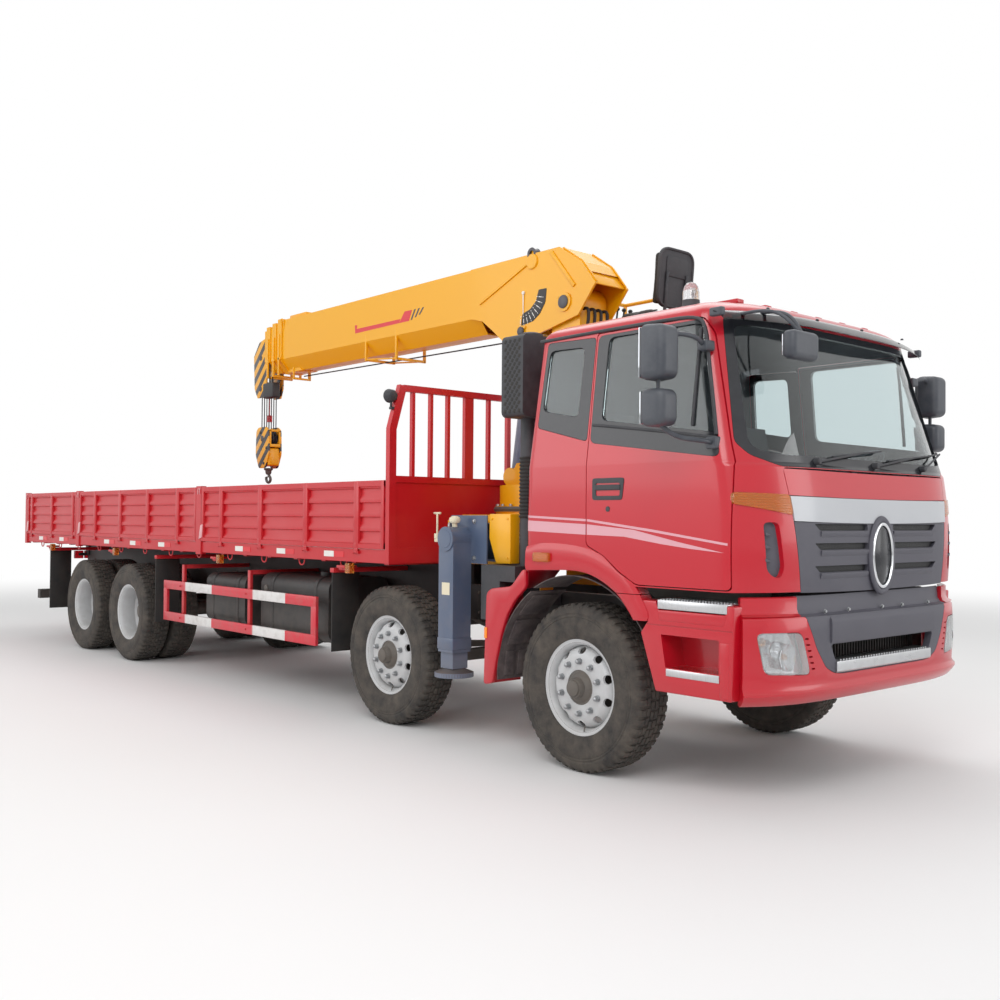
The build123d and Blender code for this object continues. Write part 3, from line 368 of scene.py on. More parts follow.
def ribbedLens(name, tint, direction="X", ribs=60.0, depth=0.002):
    # moulded polycarbonate or acrylic lens with optical ribs on its face
    material, tree, shader, where = newMaterial(name, Transmission_Weight=0.75, IOR=1.49, Roughness=0.08)
    wave = addNode(tree, "TexWave", {"bands_direction": direction}, {"Vector": where, "Scale": ribs}).outputs["Fac"]
    share = addNode(tree, "MapRange", inputs={0: wave, 3: 0.0, 4: 0.35}).outputs[0]
    base = linearColour(tint)
    deep = tuple(part * 0.6 for part in base[:3]) + (1,)
    tree.links.new(mixColours(tree, share, base, deep), shader.inputs["Base Color"])
    bump = addNode(tree, "Bump", inputs={"Strength": 0.6, "Distance": depth, "Height": wave})
    tree.links.new(bump.outputs["Normal"], shader.inputs["Normal"])
    return material


def bandedEnamel(name, first, second, width, start, direction=(1, 0, 0), soft=0.02, dust=0.4, share=0.5):
    # enamel masked and sprayed in two colours, in straight bands of one width
    material, tree, shader, where = newMaterial(name, Coat_Weight=0.2, IOR=1.5)
    run = addNode(tree, "VectorMath", {"operation": "DOT_PRODUCT"}, {0: where, 1: direction}).outputs["Value"]
    phase = addNode(tree, "Math", {"operation": "SUBTRACT"}, {0: run, 1: start}).outputs[0]
    turns = addNode(tree, "Math", {"operation": "DIVIDE"}, {0: phase, 1: width * 2}).outputs[0]
    part = addNode(tree, "Math", {"operation": "FRACT"}, {0: turns}).outputs[0]
    band = addNode(tree, "MapRange", inputs={0: part, 1: share - soft / 2, 2: share + soft / 2}).outputs[0]
    grime = addNode(tree, "TexNoise", inputs={"Vector": where, "Scale": 8.0, "Detail": 8.0, "Roughness": 0.7})
    dirt = addNode(tree, "MapRange", inputs={0: grime.outputs["Fac"], 1: 0.45, 2: 0.8, 3: 0.0, 4: dust}).outputs[0]
    paint = mixColours(tree, band, linearColour(first), linearColour(second))
    tree.links.new(mixColours(tree, dirt, paint, linearColour("#8d8275")), shader.inputs["Base Color"])
    tree.links.new(addNode(tree, "MapRange", inputs={0: dirt, 3: 0.35, 4: 0.8}).outputs[0],
                   shader.inputs["Roughness"])
    return material


finish = {
    "cabRed": enamel("cabRedEnamel", "#c20d24", dustHeight=0.75, dustShare=0.2, gloss=0.28, coat=0.4, fade=0.0),
    "bedRed": enamel("bedRedEnamel", "#c3101f", dustHeight=1.4, dustShare=0.12, gloss=0.4, coat=0.2, fade=0.03),
    "craneYellow": enamel("craneYellowEnamel", "#f4b000", dust="#9b8a66", dustHeight=1.7, dustShare=0.1,
                          gloss=0.36, coat=0.15, fade=0.0),
    "legBlue": enamel("legBlueGreyEnamel", "#4f5f7a", dustHeight=1.7, dustShare=0.3, gloss=0.35, coat=0.2),
    "darkGrey": enamel("darkGreyEnamel", "#3c3a42", dustHeight=1.6, dustShare=0.3, gloss=0.45, coat=0.1, fade=0.05),
    "frameBlack": enamel("chassisBlackPaint", "#1d1d20", dust="#6f665c", dustHeight=1.4, dustShare=0.55, gloss=0.5,
                         coat=0.0, fade=0.03),
    "rimGrey": enamel("rimGreyEnamel", "#c9cbcd", dust="#8f867b", dustHeight=1.3, dustShare=0.35, gloss=0.4,
                      coat=0.1, fade=0.1),
    "castIron": enamel("paintedCastIron", "#55524f", dust="#7d7164", dustHeight=1.6, dustShare=0.55, gloss=0.55,
                       coat=0.0, fade=0.08),
    "blackPlastic": plastic("blackMouldedPlastic", "#2b2c31", pale=0.05),
    "greyPlastic": plastic("greyMouldedPlastic", "#4b4a54", pale=0.035, roughness=0.42),
    "mirrorPlastic": plastic("mirrorShellPlastic", "#3c4048", pale=0.05, roughness=0.35),
    "trimBlack": plastic("doorTrimFilm", "#232429", pale=0.015, roughness=0.16, grain=40.0, bumpSize=0.00002,
                         dirt=0.12),
    "interior": plastic("interiorTrimPlastic", "#63666b", pale=0.04, roughness=0.6),
    "silver": enamel("silverBandEnamel", "#b9bcc1", dustHeight=0.5, gloss=0.25, coat=0.3, fade=0.12),
    "chrome": bareMetal("chromedBrass", "#dfe1e4", roughness=0.06, spots=0.03),
    "rodChrome": bareMetal("hardChromedSteel", "#c9ccd0", roughness=0.12, spots=0.05),
    "stainless": bareMetal("pressedStainless", "#c8c9cb", roughness=0.28, streak=(60.0, 4.0, 4.0)),
    "zinc": bareMetal("zincPlatedSteel", "#a9abad", roughness=0.38, spots=0.3),
    "ropeSteel": bareMetal("greasedWireRope", "#4a4a4c", roughness=0.5, spots=0.4),
    "tyre": rubber("tyreRubber", "#242324", dustShare=0.42),
    "hose": rubber("hoseRubber", "#1b1b1d", dustShare=0.12, roughness=0.55),
    "glass": clearGlass("windowGlass", "#dfe9ea"),
    "lampClear": ribbedLens("clearLampLens", "#f4f6f7", ribs=18.0, depth=0.001),
    "amber": ribbedLens("amberLampLens", "#ffb04a", direction="Z", ribs=22.0),
    "redLens": ribbedLens("redLampLens", "#c11420", direction="Z", ribs=30.0),
    "knob": plastic("creamKnobPlastic", "#e6dcc0", pale=0.02, roughness=0.35),
    "seatVinyl": rubber("seatVinyl", "#17171a", dustShare=0.1, roughness=0.5, scale=20.0),
    "cloth": rubber("seatCloth", "#5b5e63", dust="#74777b", dustShare=0.5, roughness=0.9, scale=120.0),
    "guard": bandedEnamel("redWhiteGuardEnamel", "#d5283a", "#e4e2e0", 0.71, at(-6.41), share=0.585),
    "hazard": bandedEnamel("yellowGreyWarningEnamel", "#f6b010", "#33333a", 0.062, 0.0, (0.72, 0.0, -0.72), dust=0.2),
    "white": enamel("whiteEnamel", "#eceae4", dustHeight=0.3, gloss=0.35, fade=0.0),
    # pale pink film for the side stripe, and for the painted crease highlight above it
    "stripe": enamel("palePinkStripeAndCreaseHighlight", "#dfa3ad", dustHeight=0.5, gloss=0.4, coat=0.2, fade=0.04),
    "visorTint": clearGlass("tintedVisorAcrylic", "#55585e"),
    "mirrorSilver": bareMetal("mirrorSilvering", "#d4d8dc", roughness=0.03, spots=0.0),
    "liner": rubber("dustyMudguardLiner", "#3a3236", dust="#8a7d78", dustShare=0.6, roughness=0.8, scale=9.0),
    "boomRed": enamel("boomStripeRed", "#dc2b35", dustHeight=0.3, gloss=0.35, coat=0.2, fade=0.0),
    "leverPaint": enamel("paleLeverEnamel", "#e3a5a8", dustHeight=0.3, gloss=0.4, fade=0.0),
    "mesh": plastic("grilleMeshPlastic", "#17171a", pale=0.03, grain=90.0, bumpSize=0.004),
    "amberPaint": plastic("amberMarkerPlastic", "#ff9020", pale=0.02, roughness=0.25),
}
print("stage: finishes mixed")


def coatNode(node, key):
    piece = frame["nodes"][node]
    piece.data.materials.clear()
    piece.data.materials.append(finish[key])


slotFinish = {"cab_red": "cabRed", "bed_red": "bedRed", "crane_yellow": "craneYellow", "outrigger_grey": "legBlue",
              "beam_grey": "darkGrey", "chassis_black": "frameBlack", "guard_red": "guard", "rim_silver": "rimGrey",
              "tyre": "tyre", "window_glass": "glass", "black_plastic": "blackPlastic",
              "grey_panel": "greyPlastic", "cab_trim": "interior", "rod_chrome": "rodChrome",
              "seat_black": "seatVinyl"}
for entry in frame["record"]["subparts"]:
    coatNode(entry["node"], slotFinish[entry["material_slot"]])
coatNode("axles_and_springs", "castIron")
coatNode("engine_and_driveline", "castIron")

# the camera, lamps and floor

view = {"place": (at(4.836), -6.080, 1.619), "yaw": 0.721976, "pitch": 0.017697, "roll": 0.0075345, "lens": 38.6}


def setCamera():
    ahead = Vector((-cos(view["pitch"]) * cos(view["yaw"]), cos(view["pitch"]) * sin(view["yaw"]),
                    sin(view["pitch"])))
    right = ahead.cross(Vector((0, 0, 1))).normalized()
    upward = right.cross(ahead)
    tilt = view["roll"]
    across = right * cos(tilt) + upward * sin(tilt)
    above = upward * cos(tilt) - right * sin(tilt)
    startClean()
    bpy.ops.object.camera_add()
    camera = bpy.context.object
    turn = Matrix((across, above, -ahead)).transposed().to_4x4()
    camera.matrix_world = Matrix.Translation(view["place"]) @ turn
    camera.data.lens = view["lens"]
    camera.data.clip_end = 200
    bpy.context.scene.camera = camera


studio = {"key": ((at(6.0), -9.0, 9.0), 7.0, 620), "side": ((at(-9.0), -11.0, 6.0), 8.0, 380),
          "top": ((at(-4.0), 3.0, 11.0), 9.0, 420), "fill": ((at(9.0), 5.0, 4.0), 5.0, 180), "sky": 0.5,
          "fadeFrom": 8.0, "fadeTo": 20.0}


def lightStudio():
    for name in ("key", "side", "top", "fill"):
        place, size, power = studio[name]
        startClean()
        bpy.ops.object.light_add(type="AREA", location=place)
        lamp = bpy.context.object
        lamp.data.size = size
        lamp.data.energy = power
        toward = Vector((at(-2.0), 0, 1.2)) - Vector(place)
        lamp.rotation_euler = toward.to_track_quat("-Z", "Y").to_euler()
    world = bpy.data.worlds.new("studio")
    bpy.context.scene.world = world
    world.use_nodes = True
    tree = world.node_tree
    path = addNode(tree, "LightPath")
    seen = addNode(tree, "Math", {"operation": "MAXIMUM"},
                   {0: path.outputs["Is Camera Ray"], 1: path.outputs["Is Glossy Ray"]}).outputs[0]
    seen = addNode(tree, "Math", {"operation": "MAXIMUM"}, {0: seen, 1: path.outputs["Is Transmission Ray"]})
    strength = addNode(tree, "MapRange", inputs={0: seen.outputs[0], 3: studio["sky"], 4: 1.0}).outputs[0]
    background = tree.nodes["Background"]
    background.inputs["Color"].default_value = (1, 1, 1, 1)
    tree.links.new(strength, background.inputs["Strength"])
    bpy.context.scene.view_settings.view_transform = "Standard"


def layFloor():
    startClean()
    bpy.ops.mesh.primitive_plane_add(size=120, location=(0, 0, cadBox[0][2]))
    floor = bpy.context.object
    floor.name = "floor"
    bpy.ops.object.transform_apply(location=True, rotation=True, scale=True)
    material, tree, shader, where = newMaterial("paleStudioFloor", Roughness=0.7)
    cloud = addNode(tree, "TexNoise", inputs={"Vector": where, "Scale": 0.4}).outputs["Fac"]
    tree.links.new(mixColours(tree, cloud, linearColour("#f4f4f4"), linearColour("#f8f8f8")),
                   shader.inputs["Base Color"])
    # far from the lorry the floor fades into the white backdrop, for what looks at it only
    away = addNode(tree, "VectorMath", {"operation": "LENGTH"}, {0: where}).outputs["Value"]
    far = addNode(tree, "MapRange", {"interpolation_type": "SMOOTHSTEP"},
                  {0: away, 1: studio["fadeFrom"], 2: studio["fadeTo"]}).outputs[0]
    seen = addNode(tree, "LightPath").outputs["Is Camera Ray"]
    share = addNode(tree, "Math", {"operation": "MULTIPLY"}, {0: far, 1: seen}).outputs[0]
    glow = addNode(tree, "Emission", inputs={"Color": (1, 1, 1, 1), "Strength": 1.0}).outputs[0]
    blend = addNode(tree, "MixShader", inputs={0: share, 1: shader.outputs[0], 2: glow}).outputs[0]
    tree.links.new(blend, tree.nodes["Material Output"].inputs["Surface"])
    floor.data.materials.append(material)


setCamera()
lightStudio()
layFloor()
print("stage: studio set")

# small plan tools

def softened(outline, radius, steps=4):      # an outline with its corners rounded
    points = []
    count = len(outline)
    for place in range(count):
        before, corner, after = (Vector(outline[(place + move) % count]) for move in (-1, 0, 1))
        into, out = before - corner, after - corner
        start = corner + into.normalized() * min(radius, into.length * 0.45)
        end = corner + out.normalized() * min(radius, out.length * 0.45)
        for step in range(steps + 1):
            share = step / steps
            points.append(tuple(start * (1 - share) ** 2 + corner * 2 * share * (1 - share) + end * share ** 2))
    return points


def grown(outline, gap):      # an outline moved outwards all round
    points = [Vector(point) for point in outline]
    count = len(points)
    area = sum(points[place - 1].cross(points[place]) for place in range(count))
    result = []
    for place in range(count):
        one = (points[place] - points[place - 1]).normalized()
        two = (points[(place + 1) % count] - points[place]).normalized()
        away = Vector((one.y + two.y, -one.x - two.x)).normalized() * (1 if area > 0 else -1)
        spread = max(0.35, abs(away.dot(Vector((one.y, -one.x)))))
        result.append(tuple(points[place] + away * gap / spread))
    return result


def sidePrism(outline, low, high, gap=0.0, radius=0.03):      # a cutter from (place, height) points, pushed across
    flat = softened(grown(outline, gap) if gap else outline, radius) if radius else grown(outline, gap)
    return plate([(at(x), z) for x, z in flat], "y", low, high, bevel=0)


def frontPrism(outline, low, high, gap=0.0, radius=0.03):      # a cutter from (y, height) points, pushed along
    flat = softened(grown(outline, gap) if gap else outline, radius) if radius else grown(outline, gap)
    return plate(flat, "x", at(low), at(high), bevel=0)


def mirrored(outline):
    return [(-y, z) for y, z in outline]


def bothWays(half):      # a full outline from its right half, which runs from the foot's middle to the top's
    return half + [(-y, z) for y, z in reversed(half)]


# cab: one curved sheet, and the pieces that are cut from it

cab = {"half": 1.245, "waist": 1.96, "lean": 0.133, "nose": 1.457, "brow": 1.405, "rake": 0.278, "swell": 0.2,
       "crease": 1.925, "rear": -0.40, "foot": 1.10, "eaves": 2.80, "crown": 0.155, "middle": 0.40, "wall": 0.032,
       "corner": 0.024, "doorGap": 0.006, "cutNear": 0.88, "cutFar": 1.45, "panelCut": (1.15, 1.8),
       "screenCut": (0.93, 1.8)}


def cabHalf(z, inset=0.0):
    return cab["half"] - inset - cab["lean"] * max(0, z - cab["waist"])


def cabNose(z, inset=0.0):
    low = cab["nose"] - 0.18 * (min(z, cab["crease"]) - 1.45) ** 2
    high = cab["brow"] - cab["rake"] * (z - 1.93)
    share = min(1, max(0, (z - cab["crease"]) / 0.02))
    return low * (1 - share) + high * share - inset


def cabFront(y, z, inset=0.0):      # X of the cab's front at a place across it
    nose, share = cabNose(z, inset), min(1, abs(y) / cabHalf(z, inset))
    return at(nose - cab["swell"] + cab["swell"] * (1 - share ** 6) ** 1.18)


def cabPlan(z, inset):      # half the cab's outline at one height, from the middle of its front to that of its back
    half, start = cabHalf(z, inset), cabNose(z, inset) - cab["swell"]
    rear = cab["rear"] + inset + 0.025 * max(0, z - 1.6)
    line = [(cabFront(half * step / 60, z, inset) - axleOne, half * step / 60) for step in range(61)]
    line += [(start + (rear - start) * step / 12, half) for step in range(1, 13)]
    line += [(rear, half * (1 - step / 6)) for step in range(1, 7)]
    lengths = [0]
    for one, two in zip(line, line[1:]):
        lengths.append(lengths[-1] + (Vector(two) - Vector(one)).length)
    marks = (lengths[60], lengths[72], lengths[78])

    def walk(run):
        flip = -1 if run < 0 or run > lengths[-1] else 1
        run = abs(run) if run < lengths[-1] else 2 * lengths[-1] - run
        place = next((index for index, length in enumerate(lengths) if length >= run), len(line) - 1)
        if place == 0:
            return Vector((line[0][0], 0))
        share = (run - lengths[place - 1]) / (lengths[place] - lengths[place - 1])
        point = Vector(line[place - 1]).lerp(Vector(line[place]), share)
        return Vector((point.x, point.y * flip))

    points = []
    for step in range(61):
        if step <= 26:
            run = marks[0] * (1 - (1 - step / 26) ** 1.7)
        elif step <= 50:
            run = marks[0] + (marks[1] - marks[0]) * (1 - cos(pi * (step - 26) / 24)) / 2
        else:
            run = marks[1] + (marks[2] - marks[1]) * ((step - 50) / 10) ** 1.7
        near = [walk(run + cab["corner"] * shift) for shift in (-2, -1, 0, 1, 2)]
        points.append(sum(near, Vector((0, 0))) / 5)
    return points


def cabRows(inset):      # (height, share of the plan) from the foot to the middle of the roof
    eaves = cab["eaves"] - inset
    rows = [(cab["foot"] + (1.90 - cab["foot"]) * step / 20, 1) for step in range(20)]
    rows += [(1.90 + 0.006 * step, 1) for step in range(10)]
    rows += [(1.96 + (eaves - 1.96) * step / 24, 1) for step in range(25)]
    for share in (0.995, 0.985, 0.97, 0.95, 0.925, 0.89, 0.84, 0.77, 0.66, 0.5, 0.3, 0.1, 0.0):
        rows.append((eaves, share))
    return rows


def cabLayer(outset, depth):      # a closed layer of the cab's sheet: down its outside, then up its inside
    rows = [(-outset, *row) for row in reversed(cabRows(-outset))]
    rows += [(depth - outset, *row) for row in cabRows(depth - outset)]
    startClean()
    bpy.ops.mesh.primitive_grid_add(x_subdivisions=120, y_subdivisions=len(rows) - 1, size=2)
    sheet = bpy.context.object
    sheet.data.materials.append(finish["cabRed"])
    sheet.data.materials.append(finish["interior"])
    plans = {}
    for polygon in sheet.data.polygons:
        inner = (polygon.center.y + 1) / 2 * (len(rows) - 1) > len(rows) / 2
        polygon.material_index = 1 if inner else 0
    for vertex in sheet.data.vertices:
        column = round((vertex.co.x + 1) * 60) - 60
        inset, height, share = rows[round((vertex.co.y + 1) / 2 * (len(rows) - 1))]
        if (height, inset) not in plans:
            plans[height, inset] = cabPlan(height, inset)
        x, y = plans[height, inset][abs(column)]
        if share < 1:
            x, y = cab["middle"] + (x - cab["middle"]) * share, y * share
            height += cab["crown"] * (1 - share ** 5) ** (1 / 2.2)
        vertex.co = (at(x), y if column > 0 else -y, height)
    outwards(sheet, 0.0003)
    return sheet


layers = {"wall": cabLayer(0, cab["wall"]), "pane": cabLayer(-0.014, 0.005), "film": cabLayer(0.0012, 0.0012),
          "proud": cabLayer(0.006, 0.026), "deep": cabLayer(-0.022, 0.006)}


def cabPiece(key, inside=(), outside=()):      # the part of a layer that is inside some cutters and outside others
    piece = copied(layers[key])
    if inside:
        cutWith(piece, joined(list(inside)), "INTERSECT")
    if outside:
        cutWith(piece, joined(list(outside)))
    return piece


doorEdge = [(0.163, 1.462), (0.163, 2.10), (0.150, 2.795), (0.97, 2.795), (1.03, 2.70), (1.205, 2.06), (1.245, 1.93),
            (1.25, 1.80), (1.25, 1.235), (0.575, 1.235), (0.44, 1.305), (0.31, 1.40)]
doorTrim = [(0.172, 2.098), (0.160, 2.783), (0.975, 2.783), (1.008, 2.70), (1.178, 1.972)]
doorPane = [(0.25, 2.762), (0.25, 2.236), (1.150, 2.112), (1.02, 2.722), (0.96, 2.762)]
quarterEdge = [(-0.30, 2.788), (0.138, 2.775), (0.143, 2.111), (-0.322, 2.222)]
quarterPane = [(-0.275, 2.735), (0.045, 2.725), (0.045, 2.270), (-0.29, 2.330)]
shellKeep = [(-0.7, 1.36), (-0.21, 1.40), (0.10, 1.385), (0.31, 1.33), (0.50, 1.222), (1.8, 1.222), (1.8, 3.2),
             (-0.7, 3.2)]
screenEdge = bothWays([(-0.93, 1.925), (-1.10, 1.985), (-1.16, 2.06), (-1.03, 2.80)])
screenPane = bothWays([(-0.88, 1.995), (-1.04, 2.012), (-1.09, 2.06), (-0.985, 2.755)])
cornerVent = [(-1.080, 1.612), (-0.988, 1.612), (-0.952, 1.36), (-0.972, 1.302), (-1.02, 1.306), (-1.062, 1.345)]
cornerLamp = [(-1.226, 1.777), (-0.902, 1.768), (-0.89, 1.653), (-1.226, 1.712)]
flapEdge = [(-0.82, 1.216), (-0.924, 1.917), (0.924, 1.917), (0.82, 1.216)]


def sideReach(side):      # from where to where a side cutter goes on one side of the cab
    return sorted((side * cab["cutNear"], side * cab["cutFar"]))


def across(outline, gap=0.0, radius=0.03):      # the same side cutter for both sides of the cab
    return [sidePrism(outline, *sideReach(side), gap, radius) for side in (-1, 1)]


def cutShell():
    shell = cabPiece("wall", [sidePrism(shellKeep, -1.6, 1.6, radius=0.02)],
                     across(doorEdge, cab["doorGap"]) + across(quarterEdge, 0.002))
    for outline, reach, gap in ((screenEdge, "screenCut", 0), (flapEdge, "panelCut", 0.004),
                                (cornerVent, "panelCut", 0), (mirrored(cornerVent), "panelCut", 0)):
        cutWith(shell, frontPrism(outline, *cab[reach], gap))
    finished(shell, "cabShell", ("cabRed", "interior"), "cab")
    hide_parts("cab_shell")


def cutDoors():
    for name, side in sides:
        low, high = sideReach(side)
        panel = cabPiece("wall", [sidePrism(doorEdge, low, high)],
                         [sidePrism(doorTrim, low - 0.1, high + 0.1, radius=0.045)])
        finished(panel, f"doorPanel.{name}", ("cabRed", "interior"), f"{name}_door")
        frame = cabPiece("wall", [sidePrism(doorTrim, low, high, -0.0015, radius=0.045)],
                         [sidePrism(doorPane, low - 0.1, high + 0.1, radius=0.05)])
        finished(frame, f"doorFrame.{name}", ("trimBlack", "blackPlastic"), f"{name}_door")
        pane = cabPiece("pane", [sidePrism(doorPane, low, high, -0.0008, radius=0.05)])
        finished(pane, f"doorPane.{name}", ("glass", "glass"), f"{name}_door")
        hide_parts(f"door_{name}")
        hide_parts(f"door_{name}")
        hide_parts(f"door_glass_{name}")


def cutWindows():
    frit = cabPiece("wall", across(quarterEdge, -0.001), across(quarterPane, radius=0.05))
    finished(frit, "quarterFrit", ("trimBlack", "blackPlastic"), "cab")
    border = cabPiece("wall", [frontPrism(screenEdge, *cab["screenCut"], -0.002)],
                      [frontPrism(screenPane, 0.9, 1.9, radius=0.05)])
    finished(border, "windscreenBorder", ("trimBlack", "blackPlastic"), "cab")
    quarters = cabPiece("pane", across(quarterPane, -0.0008, radius=0.05))
    screen = cabPiece("pane", [frontPrism(screenPane, *cab["screenCut"], -0.0008, radius=0.05)])
    panes = joined([screen, quarters])
    finished(panes, "cabPanes", ("glass", "glass"), "cab")
    for piece in (frit, border, panes):
        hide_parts("cab_glass")


cutShell()
cutDoors()
cutWindows()
print("stage: cab sheet cut")

# front panel: red header, silver band, grey grille with three slots and a plain oval badge

grille = {"edgeLow": 0.82, "edgeRise": 0.148, "slots": (1.585, 1.475, 1.345), "slotHalf": 0.019, "slotIn": 0.15,
          "slotOut": 0.71, "badge": (0.112, 0.19), "badgeHeight": 1.415}


def flapEdgeAt(z):
    return grille["edgeLow"] + (z - 1.216) * grille["edgeRise"]


def flapBand(low, high, sag):      # one band of the front panel, with its edges bowed down in the middle
    half = []
    for z, dip in ((low, sag), (high, sag * 0.6)):
        row = [(-flapEdgeAt(z) * share, z - dip * (1 - share ** 2)) for share in (0, 0.25, 0.5, 0.75, 1)]
        half += row if z == low else list(reversed(row))
    return half + [(-y, z) for y, z in reversed(half) if abs(y) > 0.0001]


def slotOutline(z, side, grow=0.0):
    half, inner, outer = grille["slotHalf"] + grow, grille["slotIn"] - grow, grille["slotOut"] + grow
    return [(side * outer, z + half), (side * (outer - 0.05), z - half), (side * inner, z - half),
            (side * inner, z + half)]


def swept(section, columns, place):      # a closed bar; place(-1 to 1 along it, a section point) gives a vertex
    startClean()
    bpy.ops.mesh.primitive_grid_add(x_subdivisions=columns, y_subdivisions=len(section), size=2)
    bar = bpy.context.object
    for vertex in bar.data.vertices:
        vertex.co = place(vertex.co.x, *section[round((vertex.co.y + 1) / 2 * len(section)) % len(section)])
    outwards(bar)
    pickOnly(bar)
    bpy.ops.object.mode_set(mode="EDIT")
    bpy.ops.mesh.select_all(action="SELECT")
    bpy.ops.mesh.fill_holes(sides=0)
    bpy.ops.mesh.normals_make_consistent(inside=False)
    bpy.ops.object.mode_set(mode="OBJECT")
    return bar


def barAlongFront(section, reach):      # a bar that follows the cab's front, from (outset, z)
    def place(along, outset, z):
        y = reach[0] + (reach[1] - reach[0]) * (along + 1) / 2
        return cabFront(y, z) + outset, y, z

    return swept(section, 40, place)


def makeFrontPanel():
    header = cabPiece("wall", [frontPrism(flapBand(1.765, 1.914, 0.010), *cab["panelCut"], radius=0)])
    finished(header, "frontHeader", ("cabRed", "interior"), "cab")
    band = cabPiece("proud", [frontPrism(flapBand(1.620, 1.760, 0.012), *cab["panelCut"], radius=0)])
    finished(band, "silverBand", ("silver", "interior"), "cab")
    slots = [frontPrism(slotOutline(z, side), *cab["panelCut"], radius=0.012)
             for z in grille["slots"] for side in (-1, 1)]
    face = cabPiece("wall", [frontPrism(flapBand(1.217, 1.616, 0.010), *cab["panelCut"], radius=0)], slots)
    lips = []
    for z in grille["slots"]:
        for side in (-1, 1):
            low = z - grille["slotHalf"]
            reach = sorted((side * (grille["slotOut"] - 0.055), side * grille["slotIn"]))
            lips.append(barAlongFront([(-0.004, low - 0.001), (0.007, low - 0.004), (0.009, low - 0.012),
                                       (0.004, low - 0.03), (-0.006, low - 0.05)], reach))
    finished([face, *lips], "grille", ("greyPlastic", "blackPlastic"), "cab")
    backing = cabPiece("deep", [joined([frontPrism(slotOutline(z, side, 0.008), *cab["panelCut"], radius=0.012)
                                        for z in grille["slots"] for side in (-1, 1)])])
    finished(backing, "grilleMesh", ("mesh", "mesh"), "cab")
    for piece in (header, band, face, backing):
        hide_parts("front_panel")
    wide, tall = grille["badge"]
    centre = Vector((cabFront(0, grille["badgeHeight"]) + 0.004, 0, grille["badgeHeight"]))
    parts = []
    for grow, lift, thick in ((1.0, 0.010, 0.011), (1.16, 0.0, 0.02)):
        startClean()
        bpy.ops.mesh.primitive_torus_add(major_radius=1, minor_radius=0.1, major_segments=64, minor_segments=14)
        ring = bpy.context.object
        for vertex in ring.data.vertices:
            angle, reach = Vector(vertex.co.xy).angle_signed(Vector((1, 0))), Vector(vertex.co.xy).length - 1
            spread = 1 + reach / 0.1 * thick / wide
            vertex.co = centre + Vector((lift + vertex.co.z / 0.1 * thick * 0.7, cos(angle) * wide * grow * spread,
                                         sin(angle) * (tall * grow + reach / 0.1 * thick)))
        outwards(ring)
        parts.append(ring)
    finished(parts[0], "badgeRing", "chrome", "cab", 60)
    finished(parts[1], "badgeCollar", "greyPlastic", "cab", 60)
    disc = turned([(0, 0), (0, 0.98), (0.006, 0.96), (0.012, 0.9), (0.014, 0)], (0, 0, 0), "x", 48)
    for vertex in disc.data.vertices:
        vertex.co = centre + Vector((vertex.co.x - 0.004, vertex.co.y * wide, vertex.co.z * tall))
    outwards(disc)
    finished(disc, "badgeField", "trimBlack", "cab", 60)


def makeCorners():
    lamps, vents, fins = [], [], []
    for turn in (lambda outline: outline, mirrored):
        lamps.append(cabPiece("proud", [frontPrism(turn(cornerLamp), *cab["panelCut"], radius=0.02)]))
        vents.append(cabPiece("deep", [frontPrism(turn(cornerVent), *cab["panelCut"], 0.006)]))
        for z in (1.545, 1.475, 1.40):
            fins.append(plate(turn([(-1.072, z + 0.012), (-1.02, z - 0.004), (-1.068, z - 0.008)]), "x",
                              cabFront(1.05, z) - 0.03, cabFront(1.05, z) - 0.006, bevel=0.001))
    finished(lamps, "cornerLamps", ("amber", "amberPaint"), "cab")
    finished(vents + fins, "cornerVents", ("greyPlastic", "greyPlastic"), "cab")


makeFrontPanel()
makeCorners()
print("stage: front panel made")

# bumper: one bowed section, with a grey insert, lamps and a tread

bumper = {"half": 1.245, "start": 1.27, "swell": 0.214, "end": 0.962,
          "insert": [(-0.815, 1.12), (-0.81, 1.078), (-0.726, 0.90), (-0.644, 0.79), (-0.56, 0.752),
                     (-0.478, 0.744)],
          "lamp": [(-1.134, 0.998), (-0.855, 0.996), (-0.785, 0.761), (-1.09, 0.777)],
          "opening": [(-0.60, 0.918), (-0.55, 0.815)], "cut": (1.1, 1.7),
          "louvre": [(-0.828, 0.965), (-0.798, 0.965), (-0.796, 0.955), (-0.826, 0.955)], "louvres": 6,
          "bolts": (-0.62, -0.38, 0.0, 0.24, 0.58), "teeth": 34, "coreFins": 41}


def bumperX(y, inset=0.0):
    share = min(1, abs(y) / (bumper["half"] - inset))
    return at(bumper["start"] + bumper["swell"] * (1 - share ** 5) - inset)


def bumperBar(section, reach, columns=72):      # a bar that follows the bumper's bow, from (inset, z)
    def place(along, inset, z):
        share = (abs(along) ** 0.8) * (1 if along > 0 else -1) if reach[0] == -reach[1] else along
        y = (reach[0] + reach[1]) / 2 + (reach[1] - reach[0]) / 2 * share
        y *= 1 - inset / bumper["half"] * (abs(y) / bumper["half"]) ** 4
        return bumperX(y, inset), y, z

    return swept(section, columns, place)


